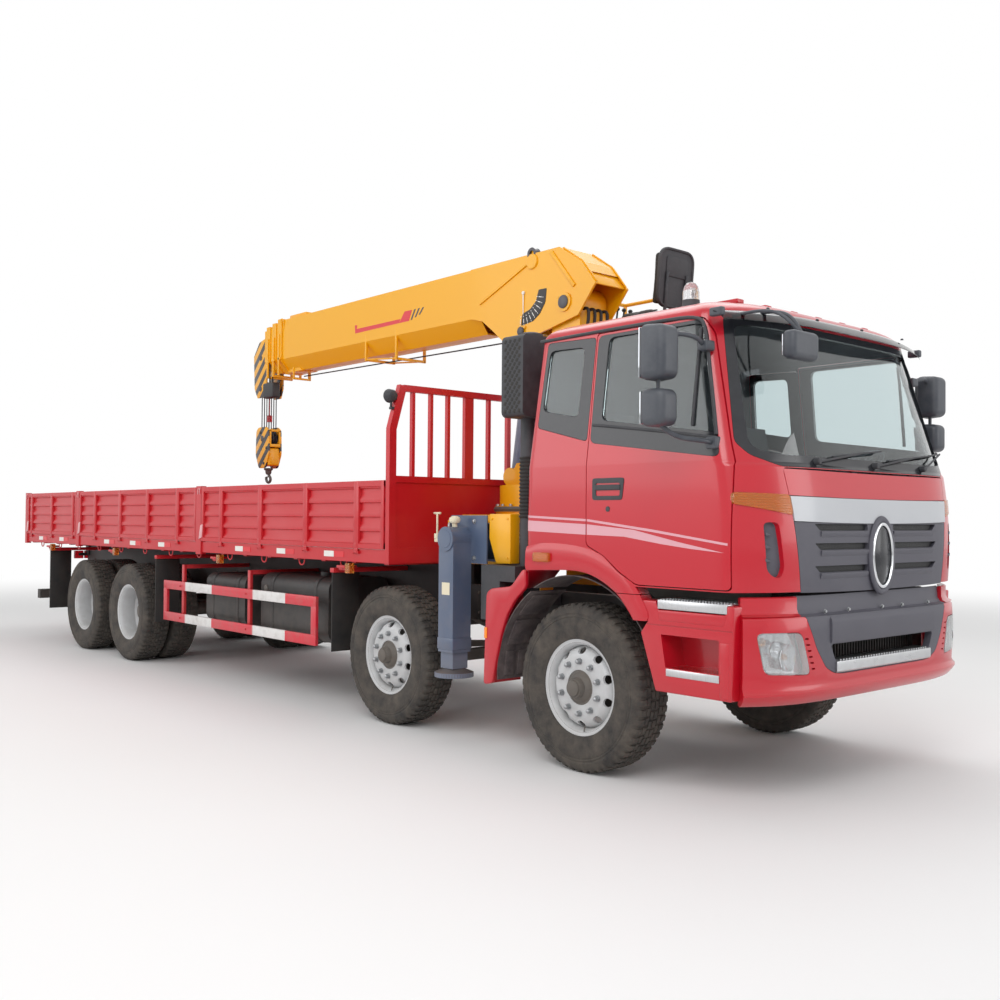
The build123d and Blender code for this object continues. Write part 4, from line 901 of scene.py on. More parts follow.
def makeBumper():
    end = bumper["half"] * bumper["end"]
    section = [(0.035, 1.092), (0.010, 1.088), (0.0, 1.070), (-0.003, 1.0), (-0.003, 0.80), (0.002, 0.70),
               (-0.006, 0.676), (-0.014, 0.666), (-0.014, 0.655), (-0.002, 0.632), (0.018, 0.604), (0.045, 0.590),
               (0.062, 0.600), (0.048, 0.66), (0.042, 0.80), (0.042, 1.05), (0.050, 1.085)]
    whole = bumperBar(section, (-end, end))
    insertEdge = bumper["insert"] + mirrored(list(reversed(bumper["insert"])))
    openingEdge = bumper["opening"] + mirrored(list(reversed(bumper["opening"])))
    insert = copied(whole)
    cutWith(insert, frontPrism(insertEdge, *bumper["cut"]), "INTERSECT")
    cutWith(insert, frontPrism(openingEdge, *bumper["cut"]))
    cutWith(whole, frontPrism(insertEdge, *bumper["cut"], 0.003))
    pockets = [frontPrism(turn(bumper["lamp"]), *bumper["cut"], 0.004, 0.04) for turn in (list, mirrored)]
    louvres = [frontPrism(turn([(y + k * 0.011, z - k * 0.034) for y, z in bumper["louvre"]]), *bumper["cut"],
                          radius=0.003) for k in range(bumper["louvres"]) for turn in (list, mirrored)]
    cutWith(whole, joined(pockets + louvres))
    finished(whole, "bumperShell", "cabRed", "chassis")
    bar = bumperBar([(0.0, 1.074), (-0.011, 1.058), (-0.014, 1.04), (-0.014, 0.938), (-0.008, 0.924), (0.03, 0.922),
                     (0.03, 1.07)], (-0.60, 0.60))
    lip = bumperBar([(0.062, 1.198), (0.056, 1.196), (0.050, 1.12), (0.034, 1.096), (0.004, 1.086), (0.02, 1.074),
                     (0.075, 1.08), (0.085, 1.19)], (-0.845, 0.845))
    finished([insert, bar, lip], "bumperInsert", "greyPlastic", "chassis")
    corners = []
    for side in (-1, 1):
        reach = sorted((side * 0.85, side * end))
        corners.append(bumperBar([(0.040, 1.196), (0.031, 1.190), (0.030, 1.125), (0.022, 1.102), (0.002, 1.090),
                                  (0.03, 1.082), (0.06, 1.09), (0.062, 1.19)], reach, 30))
    finished(corners, "bumperCorners", "cabRed", "chassis")
    tread = bumperBar([(0.0, 0.818), (-0.012, 0.815), (-0.014, 0.808), (-0.014, 0.760), (-0.008, 0.752),
                       (0.05, 0.750), (0.11, 0.80), (0.11, 0.818)], (-0.552, 0.552))
    teeth = []
    for k in range(bumper["teeth"]):
        y = -0.5 + k / (bumper["teeth"] - 1)
        teeth.append(roundedBox((bumperX(y) - 0.09, y - 0.007, 0.816), (bumperX(y) + 0.006, y + 0.007, 0.826),
                                0.002, 1))
    finished([tread, *teeth], "bumperTread", "stainless", "chassis")
    bolts = boltRow([(bumperX(y) - 0.022, y, 1.105) for y in bumper["bolts"]], "x", 0.010, 0.010)
    finished(bolts, "bumperBolts", "zinc", "chassis")
    fins = [boxBetween((1.30, y - 0.004, 0.70), (1.335, y + 0.004, 1.06), 0)
            for y in (-0.62 + k * 0.031 for k in range(bumper["coreFins"]))]
    core = boxBetween((1.28, -0.80, 0.68), (1.305, 0.80, 1.19), 0.004)
    finished([core, *fins], "radiatorCore", "frameBlack", "chassis")
    for piece in (whole, insert, tread):
        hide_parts("front_bumper")


headlamp = {"cups": ((-0.935, 0.862, 0.078), (-1.015, 0.905, 0.05)), "signal": (-1.085, 0.948)}


def makeHeadlamps():
    end = bumper["half"] * bumper["end"]
    lenses, backs, cups, bulbs = [], [], [], []
    lens = bumperBar([(-0.004, 1.05), (-0.006, 0.9), (-0.004, 0.72), (0.001, 0.72), (0.0, 0.9), (0.001, 1.05)],
                     (-end, end))
    back = bumperBar([(0.055, 1.05), (0.055, 0.72), (0.061, 0.72), (0.061, 1.05)], (-end, end))
    for turn, side in ((list, 1), (mirrored, -1)):
        for sheet, pieces, gap in ((lens, lenses, 0.0), (back, backs, 0.012)):
            pieces.append(copied(sheet))
            cutWith(pieces[-1], frontPrism(turn(bumper["lamp"]), *bumper["cut"], gap, 0.04), "INTERSECT")
        for y, z, size in headlamp["cups"]:
            front = bumperX(y) - 0.012
            cups.append(turned([(0.0, size), (-0.012, size), (-0.05, size * 0.45), (-0.052, 0), (-0.048, 0),
                                (-0.046, size * 0.42), (-0.01, size * 0.93), (0.0, size * 0.95)],
                               (front, side * y, z), "x", 32))
        y, z = headlamp["signal"]
        bulbs.append(turned([(0, 0), (0, 0.028), (0.014, 0.026), (0.024, 0.014), (0.027, 0)],
                            (bumperX(y) - 0.03, side * y, z), "x", 20))
        y, z, size = headlamp["cups"][0]
        bulbs.append(turned([(0, 0), (0, 0.020), (0.02, 0.018), (0.030, 0.0)],
                            (bumperX(y) - 0.05, side * y, z), "x", 16))
    for sheet in (lens, back):
        bpy.data.objects.remove(sheet)
    finished(lenses, "headlampLenses", "lampClear", "chassis")
    finished(backs + cups, "headlampReflectors", "chrome", "chassis")
    finished(bulbs, "headlampBulbs", "amber", "chassis")


makeBumper()
makeHeadlamps()
print("stage: bumper and headlamps made")

# cab sides: stripes with a painted crease highlight, wheel flares, handles, gutters drawn black as painted seam shade,
# mirrors and what is on the roof

# pale is a pale stripe on the paint; line is a painted highlight, a pale film where the crease above the stripe catches
# the light
stripe = {"pale": [(-0.397, 1.612), (0.166, 1.590), (0.554, 1.560), (0.903, 1.493), (1.218, 1.440), (0.987, 1.457),
                   (0.774, 1.479), (0.478, 1.518), (0.150, 1.525), (-0.397, 1.542)],
          "line": [(-0.397, 1.645), (0.174, 1.622), (0.70, 1.564), (1.235, 1.494), (1.235, 1.481), (0.70, 1.549),
                   (0.174, 1.608), (-0.397, 1.631)]}


def makeStripes():
    onCab = [(-0.7, 1.3), (0.158, 1.3), (0.158, 1.8), (-0.7, 1.8)]
    onDoor = [(0.168, 1.3), (1.245, 1.3), (1.245, 1.8), (0.168, 1.8)]
    for name, side in sides:
        low, high = sideReach(side)
        for area, body, word in ((onCab, "cab", "cab"), (onDoor, f"{name}_door", "door")):
            # the fine line is a painted highlight along the crease, drawn in the stripe's pale film
            for key, label in (("pale", "paleStripe"), ("line", "creaseHighlight")):
                film = cabPiece("film", [sidePrism(stripe[key], low, high, radius=0)])
                cutWith(film, sidePrism(area, low - 0.1, high + 0.1, radius=0), "INTERSECT")
                finished(film, f"{word}{label.capitalize()}.{name}", "stripe", body)


flare = {"outer": [(-0.382, 1.44), (-0.21, 1.468), (0.108, 1.452), (0.323, 1.39), (0.528, 1.265), (0.66, 1.085),
                   (0.66, 1.024)],
         "inner": [(-0.39, 1.281), (-0.208, 1.289), (0.065, 1.296), (0.239, 1.264), (0.407, 1.181), (0.505, 1.085),
                   (0.553, 1.023)], "face": 1.256, "root": 1.15, "split": 1.178, "near": 1.0, "far": 1.45}


def smoothLine(points, steps=5):      # a curve through the points
    line = []
    for place in range(len(points) - 1):
        before, one = Vector(points[max(0, place - 1)]), Vector(points[place])
        two, after = Vector(points[place + 1]), Vector(points[min(len(points) - 1, place + 2)])
        for step in range(steps):
            t = step / steps
            line.append(0.5 * ((2 * one) + (two - before) * t + (2 * before - 5 * one + 4 * two - after) * t ** 2
                               + (3 * one - before - 3 * two + after) * t ** 3))
    return [tuple(point) for point in line] + [tuple(points[-1])]


def arch(outer, inner, side, root, face, edge=0.012):      # a curved band that stands out from the side
    section = [(0, root), (0, face - edge), (0.12, face - edge * 0.25), (0.25, face), (0.75, face),
               (0.88, face - edge * 0.25), (1, face - edge), (1, root)]
    outer, inner = smoothLine(outer), smoothLine(inner)

    def place(along, share, y):
        column = round((along + 1) / 2 * (len(outer) - 1))
        point = Vector(outer[column]).lerp(Vector(inner[column]), share)
        return at(point.x), side * y, point.y

    return swept(section, len(outer) - 1, place)


def makeFlares():
    for name, side in sides:
        whole = arch(flare["outer"], flare["inner"], side, flare["root"], flare["face"])
        tip = copied(whole)
        split, near, far = flare["split"], side * flare["near"], side * flare["far"]
        cutWith(whole, boxBetween((-1, near, split), (1, far, 1.7), 0), "INTERSECT")
        cutWith(tip, boxBetween((-1, near, 0.9), (1, far, split - 0.004), 0), "INTERSECT")
        rear = copied(whole)
        low, high = sorted((near, far))
        cutWith(whole, sidePrism(doorEdge, low, high, 0.004))
        cutWith(rear, sidePrism(doorEdge, low, high, -0.004), "INTERSECT")
        finished(whole, f"flare.{name}", "cabRed", "cab")
        finished(rear, f"doorFlare.{name}", "cabRed", f"{name}_door")
        finished(tip, f"flareFoot.{name}", "cabRed", "chassis")
        lamp = boxBetween((-0.295, side * 1.245, 1.342), (-0.148, side * 1.282, 1.404), 0.012, 4)
        finished(lamp, f"flareLamp.{name}", "amber", "cab")


handle = {"bezel": [(0.215, 1.74), (0.215, 1.875), (0.48, 1.875), (0.462, 1.74)], "lock": (0.345, 1.685)}


def makeHandles():
    face, (lockX, lockZ) = cab["half"], handle["lock"]
    for name, side in sides:
        outline = softened(handle["bezel"], 0.02)
        bezel = plate([(at(x), z) for x, z in outline], "y", side * (face - 0.012), side * (face + 0.0045), 0.002)
        pocket = boxBetween((0.245, side * (face - 0.01), 1.765), (0.445, side * (face + 0.02), 1.845),
                            0.012, 3)
        cutWith(bezel, pocket)
        floor = boxBetween((0.23, side * (face - 0.0125), 1.75), (0.46, side * (face - 0.006), 1.86), 0.002)
        grip = boxBetween((0.24, side * (face - 0.004), 1.80), (0.45, side * (face + 0.013), 1.834), 0.008, 4)
        lock = turned([(0, 0), (0, 0.017), (0.004, 0.017), (0.006, 0.013), (0.006, 0)],
                      (at(lockX), side * (face - 0.001), lockZ), (0, side, 0), 24)
        finished([bezel, floor, grip, lock], f"doorHandle.{name}", "blackPlastic", f"{name}_door")


# dripShade: the drip rail along the roof edge and down the pillar, a black tube that stands for the shade in the roof
# seam groove (painted shade)
gutter = {"dripShade": ((-0.37, 2.808), (0.10, 2.812), (0.60, 2.812), (0.96, 2.806), (1.01, 2.72), (1.07, 2.46),
                   (1.125, 2.22), (1.15, 2.10)),
          "rubber": ((0.185, 2.212), (0.62, 2.162), (1.14, 2.085)), "proud": 0.004}


def makeGutters():
    for name, side in sides:
        dripShade, rubber = (tube([(at(x), side * (cabHalf(z) + gutter["proud"]), z) for x, z in gutter[key]], radius)
                        for key, radius in (("dripShade", 0.011), ("rubber", 0.009)))
        # the drip rail is given black plastic as painted shade of the seam groove
        finished(dripShade, f"roofGutterPaintedShade.{name}", "blackPlastic", "cab")
        middle = cabHalf(2.45)
        bar = boxBetween((0.955, side * (middle - 0.05), 2.16), (0.975, side * (middle - 0.03), 2.73), 0.004)
        for vertex in bar.data.vertices:
            vertex.co.y = side * (abs(vertex.co.y) + (cabHalf(vertex.co.z) - middle) + 0.028)
        outwards(bar)
        finished([rubber, bar], f"windowRubber.{name}", "blackPlastic", f"{name}_door")


visor = {"high": 2.862, "reach": 1.17, "brackets": (-0.78, -0.26, 0.26, 0.78), "ends": 1.135}


def makeVisor():
    section = [(0.0, 0.0), (0.05, -0.012), (0.10, -0.040), (0.140, -0.085), (0.136, -0.088), (0.096, -0.046),
               (0.048, -0.018), (0.0, -0.008)]

    def place(share, out, drop):
        bow = 1 - abs(share) ** 3
        x = 1.075 + 0.075 * bow + out * (0.35 + 0.65 * bow)
        return (at(x), share * visor["reach"] * (1 - 0.25 * out),
                visor["high"] - 0.05 * (1 - bow) + drop * (0.55 + 0.45 * bow))

    finished(swept(section, 48, place), "sunVisor", "visorTint", "cab")
    ends, brackets = [], []
    for y in (-visor["ends"], visor["ends"]):
        ends.append(boxBetween((1.035, y - 0.02, 2.785), (1.125, y + 0.02, 2.835), 0.010, 3))
    for y in visor["brackets"]:
        z = visor["high"] - 0.008
        brackets.append(boxBetween((1.07, y - 0.02, z - 0.035), (1.14, y + 0.02, z - 0.012), 0.004))
        brackets.append(boltRow([(at(1.175), y, z + 0.004)], "z", 0.009, 0.008))
    finished(ends + brackets, "visorBrackets", "mirrorPlastic", "cab")


def screenPoint(y, z, out=0.0):
    return Vector((cabFront(y, z) + out, y, z))


wiper = {"arms": (((-0.62, 1.965), (-0.16, 2.03)), ((0.02, 1.962), (0.48, 2.03)), ((0.62, 1.965), (0.98, 2.08))),
         "blade": (-0.30, -0.15, 0, 0.15, 0.28)}


def makeWipers():
    parts = []
    for foot, tip in wiper["arms"]:
        base, end = screenPoint(*foot, 0.03), screenPoint(*tip, 0.035)
        parts.append(turned([(0, 0), (0, 0.02), (0.035, 0.018), (0.04, 0.012), (0.04, 0)],
                            screenPoint(foot[0], foot[1], -0.004), "x", 20))
        parts.append(rod(base, end, 0.007, 10))
        along = Vector((0, 1, 0.10)).normalized()
        lineUp = [end + along * reach for reach in wiper["blade"]]
        lineUp = [Vector((cabFront(point.y, point.z) + 0.02, point.y, point.z)) for point in lineUp]
        parts.append(tube(lineUp, 0.006, steps=4))
        parts.append(tube([point - Vector((0.013, 0, 0.0)) for point in lineUp], 0.0045, steps=4))
    finished(parts, "wipers", "blackPlastic", "cab")


mirror = {"heads": ((2.385, 2.70, 1.445, 1.635, 0.915, 1.085), (2.13, 2.345, 1.45, 1.63, 0.92, 1.08)),
          "upperArm": ((1.03, 1.20, 2.62), (1.06, 1.28, 2.655), (1.0, 1.46, 2.66), (0.99, 1.53, 2.62)),
          "lowerArm": ((1.12, 1.235, 2.055), (1.14, 1.30, 2.06), (1.02, 1.47, 2.08), (0.99, 1.54, 2.16)),
          "frontArms": (((1.09, -1.0, 2.80), (1.26, -0.99, 2.82), (1.42, -0.95, 2.77), (1.46, -0.88, 2.66)),
                        ((1.09, -0.82, 2.83), (1.25, -0.82, 2.84), (1.40, -0.84, 2.77), (1.46, -0.86, 2.66)))}


def makeMirrors():
    for name, side in sides:
        body = f"{name}_door"
        shells, glasses = [], []
        for low, high, near, far, back, front in mirror["heads"]:
            shell = boxBetween((back, side * near, low), (front, side * far, high), 0)
            bevelEdges(shell, 0.045, 5)
            for vertex in shell.data.vertices:
                bulge = (vertex.co.x - at(back)) / (front - back)
                centre = Vector((0, side * (near + far) / 2, (low + high) / 2))
                vertex.co.y = centre.y + (vertex.co.y - centre.y) * (1 - 0.16 * bulge)
                vertex.co.z = centre.z + (vertex.co.z - centre.z) * (1 - 0.08 * bulge)
            outwards(shell)
            shells.append(shell)
            glasses.append(roundedBox((at(back) - 0.004, side * (near + 0.018), low + 0.018),
                                      (at(back) + 0.006, side * (far - 0.018), high - 0.018), 0.003))
        arms = [tube([(at(x), side * y, z) for x, y, z in mirror["upperArm"]], 0.014, steps=8),
                tube([(at(x), side * y, z) for x, y, z in mirror["lowerArm"]], 0.014, steps=8),
                rod((at(0.99), side * 1.54, 2.14), (at(0.99), side * 1.54, 2.64), 0.012, 14),
                boxBetween((0.995, side * 1.135, 2.585), (1.07, side * 1.215, 2.645), 0.012, 3),
                boxBetween((1.085, side * 1.20, 2.02), (1.165, side * 1.25, 2.09), 0.012, 3)]
        whole = joined(shells + arms)
        finished(whole, f"mirrorShells.{name}", "mirrorPlastic", body, 40)
        finished(glasses, f"mirrorGlass.{name}", "mirrorSilver", body)
        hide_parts(f"mirror_{name}")
    arms = [tube([(at(x), y, z) for x, y, z in arm], 0.010, steps=8) for arm in mirror["frontArms"]]
    shell = boxBetween((1.41, -1.0, 2.52), (1.50, -0.74, 2.68), 0.034, 5)
    finished([shell, *arms], "frontMirror", "mirrorPlastic", "cab", 40)
    glass = boxBetween((1.405, -0.98, 2.54), (1.413, -0.76, 2.66), 0.003)
    finished(glass, "frontMirrorGlass", "mirrorSilver", "cab")


def roofHeight(x, y):      # height of the roof's sheet at a place on it
    share = max(abs(y) / cabHalf(cab["eaves"]), abs(x - cab["middle"]) / (0.79 if x > cab["middle"] else 0.78))
    return cab["eaves"] + cab["crown"] * (1 - min(1, share) ** 5) ** (1 / 2.2)


roofPiece = {"beaconX": 0.64, "beaconY": -0.82, "ribs": (-0.72, -0.43, -0.14, 0.14, 0.43, 0.72),
             "ribHalf": 0.035, "ribRear": -0.20, "ribFront": 0.94}


def makeRoof():
    x, y = roofPiece["beaconX"], roofPiece["beaconY"]
    foot = roofHeight(x, y)
    base = turned([(0, 0), (0, 0.062), (0.010, 0.062), (0.016, 0.056), (0.05, 0.054), (0.05, 0)],
                  (at(x), y, foot - 0.008), "z", 32)
    finished(base, "beaconBase", "blackPlastic", "cab", 50)
    dome = turned([(0.0, 0.0), (0.0, 0.052), (0.05, 0.051), (0.085, 0.043), (0.108, 0.026), (0.116, 0.0)],
                  (at(x), y, foot + 0.042), "z", 32)
    finished(dome, "beaconDome", "lampClear", "cab", 60)
    high, half = cab["eaves"] + cab["crown"], roofPiece["ribHalf"]
    ribs = [boxBetween((roofPiece["ribRear"], y - half, high - 0.02),
                       (roofPiece["ribFront"], y + half, high + 0.008), 0.007, 3) for y in roofPiece["ribs"]]
    finished(ribs, "roofRibs", "cabRed", "cab")


makeStripes()
makeFlares()
makeHandles()
makeGutters()
makeVisor()
makeWipers()
makeMirrors()
makeRoof()
print("stage: cab sides and roof made")

# wheels: one tyre, one steered rim and one driven rim, modelled on the right of the first axle and copied

wheel = {"height": 0.542, "steer": 1.015, "twin": 0.930, "shift": 0.1675, "pitches": 54,
         "tyre": [(0.110, 0.287), (0.110, 0.3105), (0.124, 0.3115), (0.134, 0.330), (0.144, 0.365), (0.149, 0.405),
                  (0.150, 0.425), (0.149, 0.446), (0.1465, 0.450), (0.150, 0.455), (0.150, 0.461), (0.1465, 0.466),
                  (0.1465, 0.474), (0.149, 0.478), (0.148, 0.486), (0.143, 0.500), (0.130, 0.520), (0.118, 0.528),
                  (0.060, 0.5305), (0.0, 0.531)]}
hubMiddle = (0, 0, wheel["height"])


def ringed(piece, count):      # copies a part round the wheel
    pickOnly(piece)
    bpy.ops.object.mode_set(mode="EDIT")
    bpy.ops.mesh.select_all(action="SELECT")
    bpy.ops.mesh.spin(steps=count - 1, dupli=True, angle=2 * pi * (count - 1) / count, center=hubMiddle,
                      axis=(0, 1, 0))
    bpy.ops.object.mode_set(mode="OBJECT")
    return piece


def wheelTurned(profile, steps=72):
    return turned([(-y, radius) for y, radius in profile], hubMiddle, "y", steps)


def makeTyre(centre):
    half = wheel["tyre"]
    profile = [(centre + y, r) for y, r in half] + [(centre - y, r) for y, r in reversed(half[:-1])]
    carcass = wheelTurned(profile, 80)
    high = wheel["height"]
    blocks = []
    for side in (-1, 1):
        shoulder = [(0.076, 0.520), (0.076, 0.5412), (0.118, 0.538), (0.139, 0.510), (0.1445, 0.492), (0.130, 0.495)]
        outline = [(-(centre + side * y), high + r) for y, r in shoulder]
        blocks.append(plate(outline, "x", -0.020 + side * 0.004, 0.018 + side * 0.004, 0.003, 1))
        blocks.append(roundedBox((-0.002, -centre - side * 0.004, high + 0.522),
                                 (0.046, -centre - side * 0.034, high + 0.5395), 0.003, 1))
        blocks.append(roundedBox((-0.026, -centre - side * 0.041, high + 0.522),
                                 (0.022, -centre - side * 0.070, high + 0.5395), 0.003, 1))
    tread = ringed(joined(blocks), wheel["pitches"])
    return joined([carcass, tread])


def rimBarrel(c):
    return wheelTurned([(c - 0.120, 0.306), (c - 0.120, 0.290), (c - 0.110, 0.272), (c - 0.05, 0.262),
                        (c + 0.02, 0.262), (c + 0.075, 0.268), (c + 0.104, 0.280), (c + 0.113, 0.292),
                        (c + 0.115, 0.300), (c + 0.118, 0.305), (c + 0.120, 0.3065), (c + 0.120, 0.309),
                        (c + 0.114, 0.3095), (c + 0.110, 0.300), (c + 0.104, 0.2855), (c - 0.104, 0.2855),
                        (c - 0.110, 0.300), (c - 0.114, 0.306)])


def ovalHoles(radius, low, high, wide=0.030, tall=0.021):
    outline = [(cos(turn * pi / 8) * wide, wheel["height"] + radius + sin(turn * pi / 8) * tall) for turn in range(16)]
    return ringed(plate(outline, "y", -high, -low, bevel=0), 10)


def nutRing(radius, face, reach):
    high = wheel["height"] + radius
    nut = turned([(0, 0), (0, 0.022), (-0.006, 0.022), (-0.006, 0)], (0, -face, high), "y", 16)
    hexagon = turned([(0, 0), (0, 0.018), (-reach * 0.62, 0.018), (-reach * 0.62, 0)], (0, -face - 0.004, high), "y", 6)
    dome = turned([(0, 0), (0, 0.0155), (-reach * 0.22, 0.013), (-reach * 0.34, 0.007), (-reach * 0.38, 0)],
                  (0, -face - 0.003 - reach * 0.6, high), "y", 14)
    return ringed(joined([nut, hexagon, dome]), 10)


def makeSteerRim():
    c = wheel["steer"]
    disc = wheelTurned([(1.030, 0.258), (1.052, 0.252), (1.088, 0.236), (1.106, 0.217), (1.114, 0.198), (1.114, 0.112),
                        (1.127, 0.112), (1.129, 0.120), (1.128, 0.198), (1.121, 0.221), (1.102, 0.243),
                        (1.066, 0.262), (1.036, 0.2685)])
    cutWith(disc, ovalHoles(0.2335, 1.0, 1.2))
    rim = joined([rimBarrel(c), disc])
    nuts = nutRing(0.1675, 1.127, 0.036)
    hub = wheelTurned([(0.93, 0.0403), (0.93, 0.08), (1.00, 0.082), (1.00, 0.20), (0.905, 0.20), (0.905, 0.17),
                       (0.99, 0.165), (1.01, 0.17), (1.012, 0.195), (1.018, 0.196), (1.022, 0.10), (1.10, 0.10),
                       (1.108, 0.111), (1.122, 0.1115), (1.124, 0.108), (1.124, 0.098), (1.130, 0.094),
                       (1.146, 0.074), (1.150, 0.068), (1.180, 0.064), (1.186, 0.060), (1.186, 0.054),
                       (1.198, 0.050), (1.204, 0.038), (1.205, 0.0), (1.16, 0.0), (1.16, 0.0403)], 48)
    valve = tube([(0.03, -1.105, wheel["height"] - 0.25), (0.034, -1.122, wheel["height"] - 0.262),
                  (0.045, -1.131, wheel["height"] - 0.275)], 0.004)
    return rim, nuts, joined([hub, valve])


def makeDrivenRim():
    c, shift = wheel["twin"], wheel["shift"]
    discs = []
    for way in (1, -1):
        discs.append(wheelTurned([(c + way * y, r) for y, r in (
            (0.001, 0.102), (0.014, 0.102), (0.015, 0.168), (0.020, 0.182), (0.066, 0.232), (0.090, 0.250),
            (0.104, 0.262), (0.104, 0.268), (0.088, 0.266), (0.076, 0.255), (0.052, 0.236), (0.006, 0.190),
            (0.001, 0.178))]))
    cutWith(discs[0], ovalHoles(0.2225, c - 0.005, c + 0.09))
    rim = joined([rimBarrel(c + shift), rimBarrel(c - shift), *discs])
    nuts = nutRing(0.1400, c + 0.014, 0.036)
    hub = wheelTurned([(0.65, 0.0603), (0.65, 0.10), (0.845, 0.102), (0.845, 0.18), (0.67, 0.18), (0.67, 0.205),
                       (0.86, 0.205), (0.862, 0.10), (1.010, 0.098), (1.014, 0.116), (1.040, 0.116),
                       (1.044, 0.110), (1.060, 0.086), (1.082, 0.080), (1.085, 0.070), (1.085, 0.0), (1.05, 0.0),
                       (1.05, 0.0603)], 48)
    bolts = nutRing(0.1005, 1.036, 0.012)
    return rim, nuts, joined([hub, bolts])


def placeCopies(piece, name, key, axles, word, node):
    for number, place in axles:
        for label, side in sides:
            turn = Matrix.Translation((at(place), 0, 0)) @ Matrix.Rotation(pi if side > 0 else 0, 4, "Z")
            part = copied(piece, turn)
            finished(part, f"{name}.{label}.{number}", key, f"{word}_{label}_{number}", 35)
            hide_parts(f"{node}_{label}_{number}")
    bpy.data.objects.remove(piece)


def makeWheels():
    steered, driven = ((1, 0.0), (2, -2.10)), ((3, -7.010), (4, -8.355))
    placeCopies(makeTyre(wheel["steer"]), "tyre", "tyre", steered, "wheel", "tyre")
    twins = joined([makeTyre(wheel["twin"] + wheel["shift"]), makeTyre(wheel["twin"] - wheel["shift"])])
    placeCopies(twins, "twinTyres", "tyre", driven, "twin_wheels", "tyres")
    rim, nuts, hub = makeSteerRim()
    placeCopies(rim, "rim", "rimGrey", steered, "wheel", "rim")
    placeCopies(nuts, "nuts", "zinc", steered, "wheel", "rim")
    placeCopies(hub, "hub", "castIron", steered, "wheel", "rim")
    rim, nuts, hub = makeDrivenRim()
    placeCopies(rim, "twinRims", "rimGrey", driven, "twin_wheels", "rims")
    placeCopies(nuts, "twinNuts", "zinc", driven, "twin_wheels", "rims")
    placeCopies(hub, "twinHubs", "castIron", driven, "twin_wheels", "rims")


makeWheels()
print("stage: wheels made")

# guards, mudguards and steps

guard = {"front": -3.06, "rear": -6.10, "near": 1.180, "far": 1.210, "low": (0.525, 0.615), "high": (0.855, 0.945),
         "posts": (-5.70, -4.29), "flaps": ((-9.63, 0.41, 0.02), (-6.34, 0.48, 0.015), (-2.83, 0.50, 0.012)),
         "beam": 0.43}


def makeGuards():
    rails, hangers, flaps = [], [], []
    for side in (-1, 1):
        near, far, beam = side * guard["near"], side * guard["far"], side * guard["beam"]
        for low, high in (guard["low"], guard["high"]):
            rails.append(boxBetween((guard["rear"], near, low), (guard["front"], far, high), 0.004))
        for place in (guard["rear"], guard["front"] - 0.08):
            rails.append(boxBetween((place, near, 0.61), (place + 0.08, far, 0.86), 0.004))
        for place in guard["posts"]:
            hangers.append(boxBetween((place - 0.025, side * 1.150, 0.525), (place + 0.025, near, 1.12), 0.004))
            hangers.append(boxBetween((place - 0.025, beam, 1.08), (place + 0.025, side * 1.16, 1.12), 0.004))
            for z in (0.57, 0.90):
                hangers.append(boltRow([(at(place), far - side * 0.001, z)], "y", 0.009, side * 0.008))
        for place, low, thick in guard["flaps"]:
            flaps.append(roundedBox((at(place), side * 0.93, low), (at(place) + thick, side * 1.20, 1.16), 0.003))
            hangers.append(roundedBox((at(place) - 0.03, beam, 1.16), (at(place) + 0.03, side * 1.20, 1.20), 0.006))
    whole = finished(rails, "sideGuards", "guard", "chassis")
    finished(hangers, "guardHangers", "bedRed", "chassis")
    finished(flaps, "mudflaps", "hose", "chassis")
    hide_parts("wheel_guards_and_steps")


def arcPoints(radius, start, end, steps=18):      # points about the first axle, angles from straight up to the rear
    return [(-sin(radians(start + (end - start) * step / steps)) * radius,
             wheel["height"] + cos(radians(start + (end - start) * step / steps)) * radius)
            for step in range(steps + 1)]


def sideSolid(outline, side, low, high, bevel=0.003, segments=2):      # (place, height) points pushed across
    return plate([(at(x), z) for x, z in outline], "y", *sorted((side * low, side * high)), bevel, segments)


mudguard = {"lip": [(-0.40, 1.282), (-0.434, 1.284), (-0.545, 1.166), (-0.755, 1.140), (-0.800, 1.105),
                    (-0.824, 0.474), (-0.732, 0.490), (-0.700, 0.640), (-0.645, 0.835), (-0.590, 0.965),
                    (-0.510, 1.075), (-0.400, 1.168)],
            "liner": ((35, 52, 0.94, 1.16), (56, 72, 0.94, 1.16), (76, 90, 0.94, 1.04), (76, 90, 1.07, 1.16)),
            "wall": [(-0.425, 1.282), (-0.545, 1.164), (-0.755, 1.138), (-0.798, 1.105), (-0.822, 0.478),
                     (-0.808, 0.478), (-0.785, 1.095), (-0.748, 1.126), (-0.540, 1.150), (-0.418, 1.268)]}


def makeMudguards():
    red, dark = [], []
    for name, side in sides:
        red.append(sideSolid(softened(mudguard["lip"], 0.03), side, 1.205, 1.240, 0.009, 3))
        red.append(sideSolid(mudguard["wall"], side, 0.90, 1.225, 0.003))
        dark.append(sideSolid(arcPoints(0.700, 32, 92) + arcPoints(0.707, 92, 32), side, 0.885, 1.215, 0))
        for start, end, near, far in mudguard["liner"]:
            dark.append(sideSolid(arcPoints(0.690, start, end, 8) + arcPoints(0.701, end, start, 8), side, near, far,
                                  0.004))
        dark.append(sideSolid(arcPoints(0.715, -62, 30) + arcPoints(0.722, 30, -62), side, 0.885, 1.200, 0))
        marker = boxBetween((-0.812, side * 1.236, 0.795), (-0.785, side * 1.245, 0.87), 0.003)
        finished(marker, f"guardReflector.{name}", "amberPaint", "chassis")
    finished(red, "mudguards", "cabRed", "chassis")
    finished(dark, "mudguardLiners", "liner", "chassis")


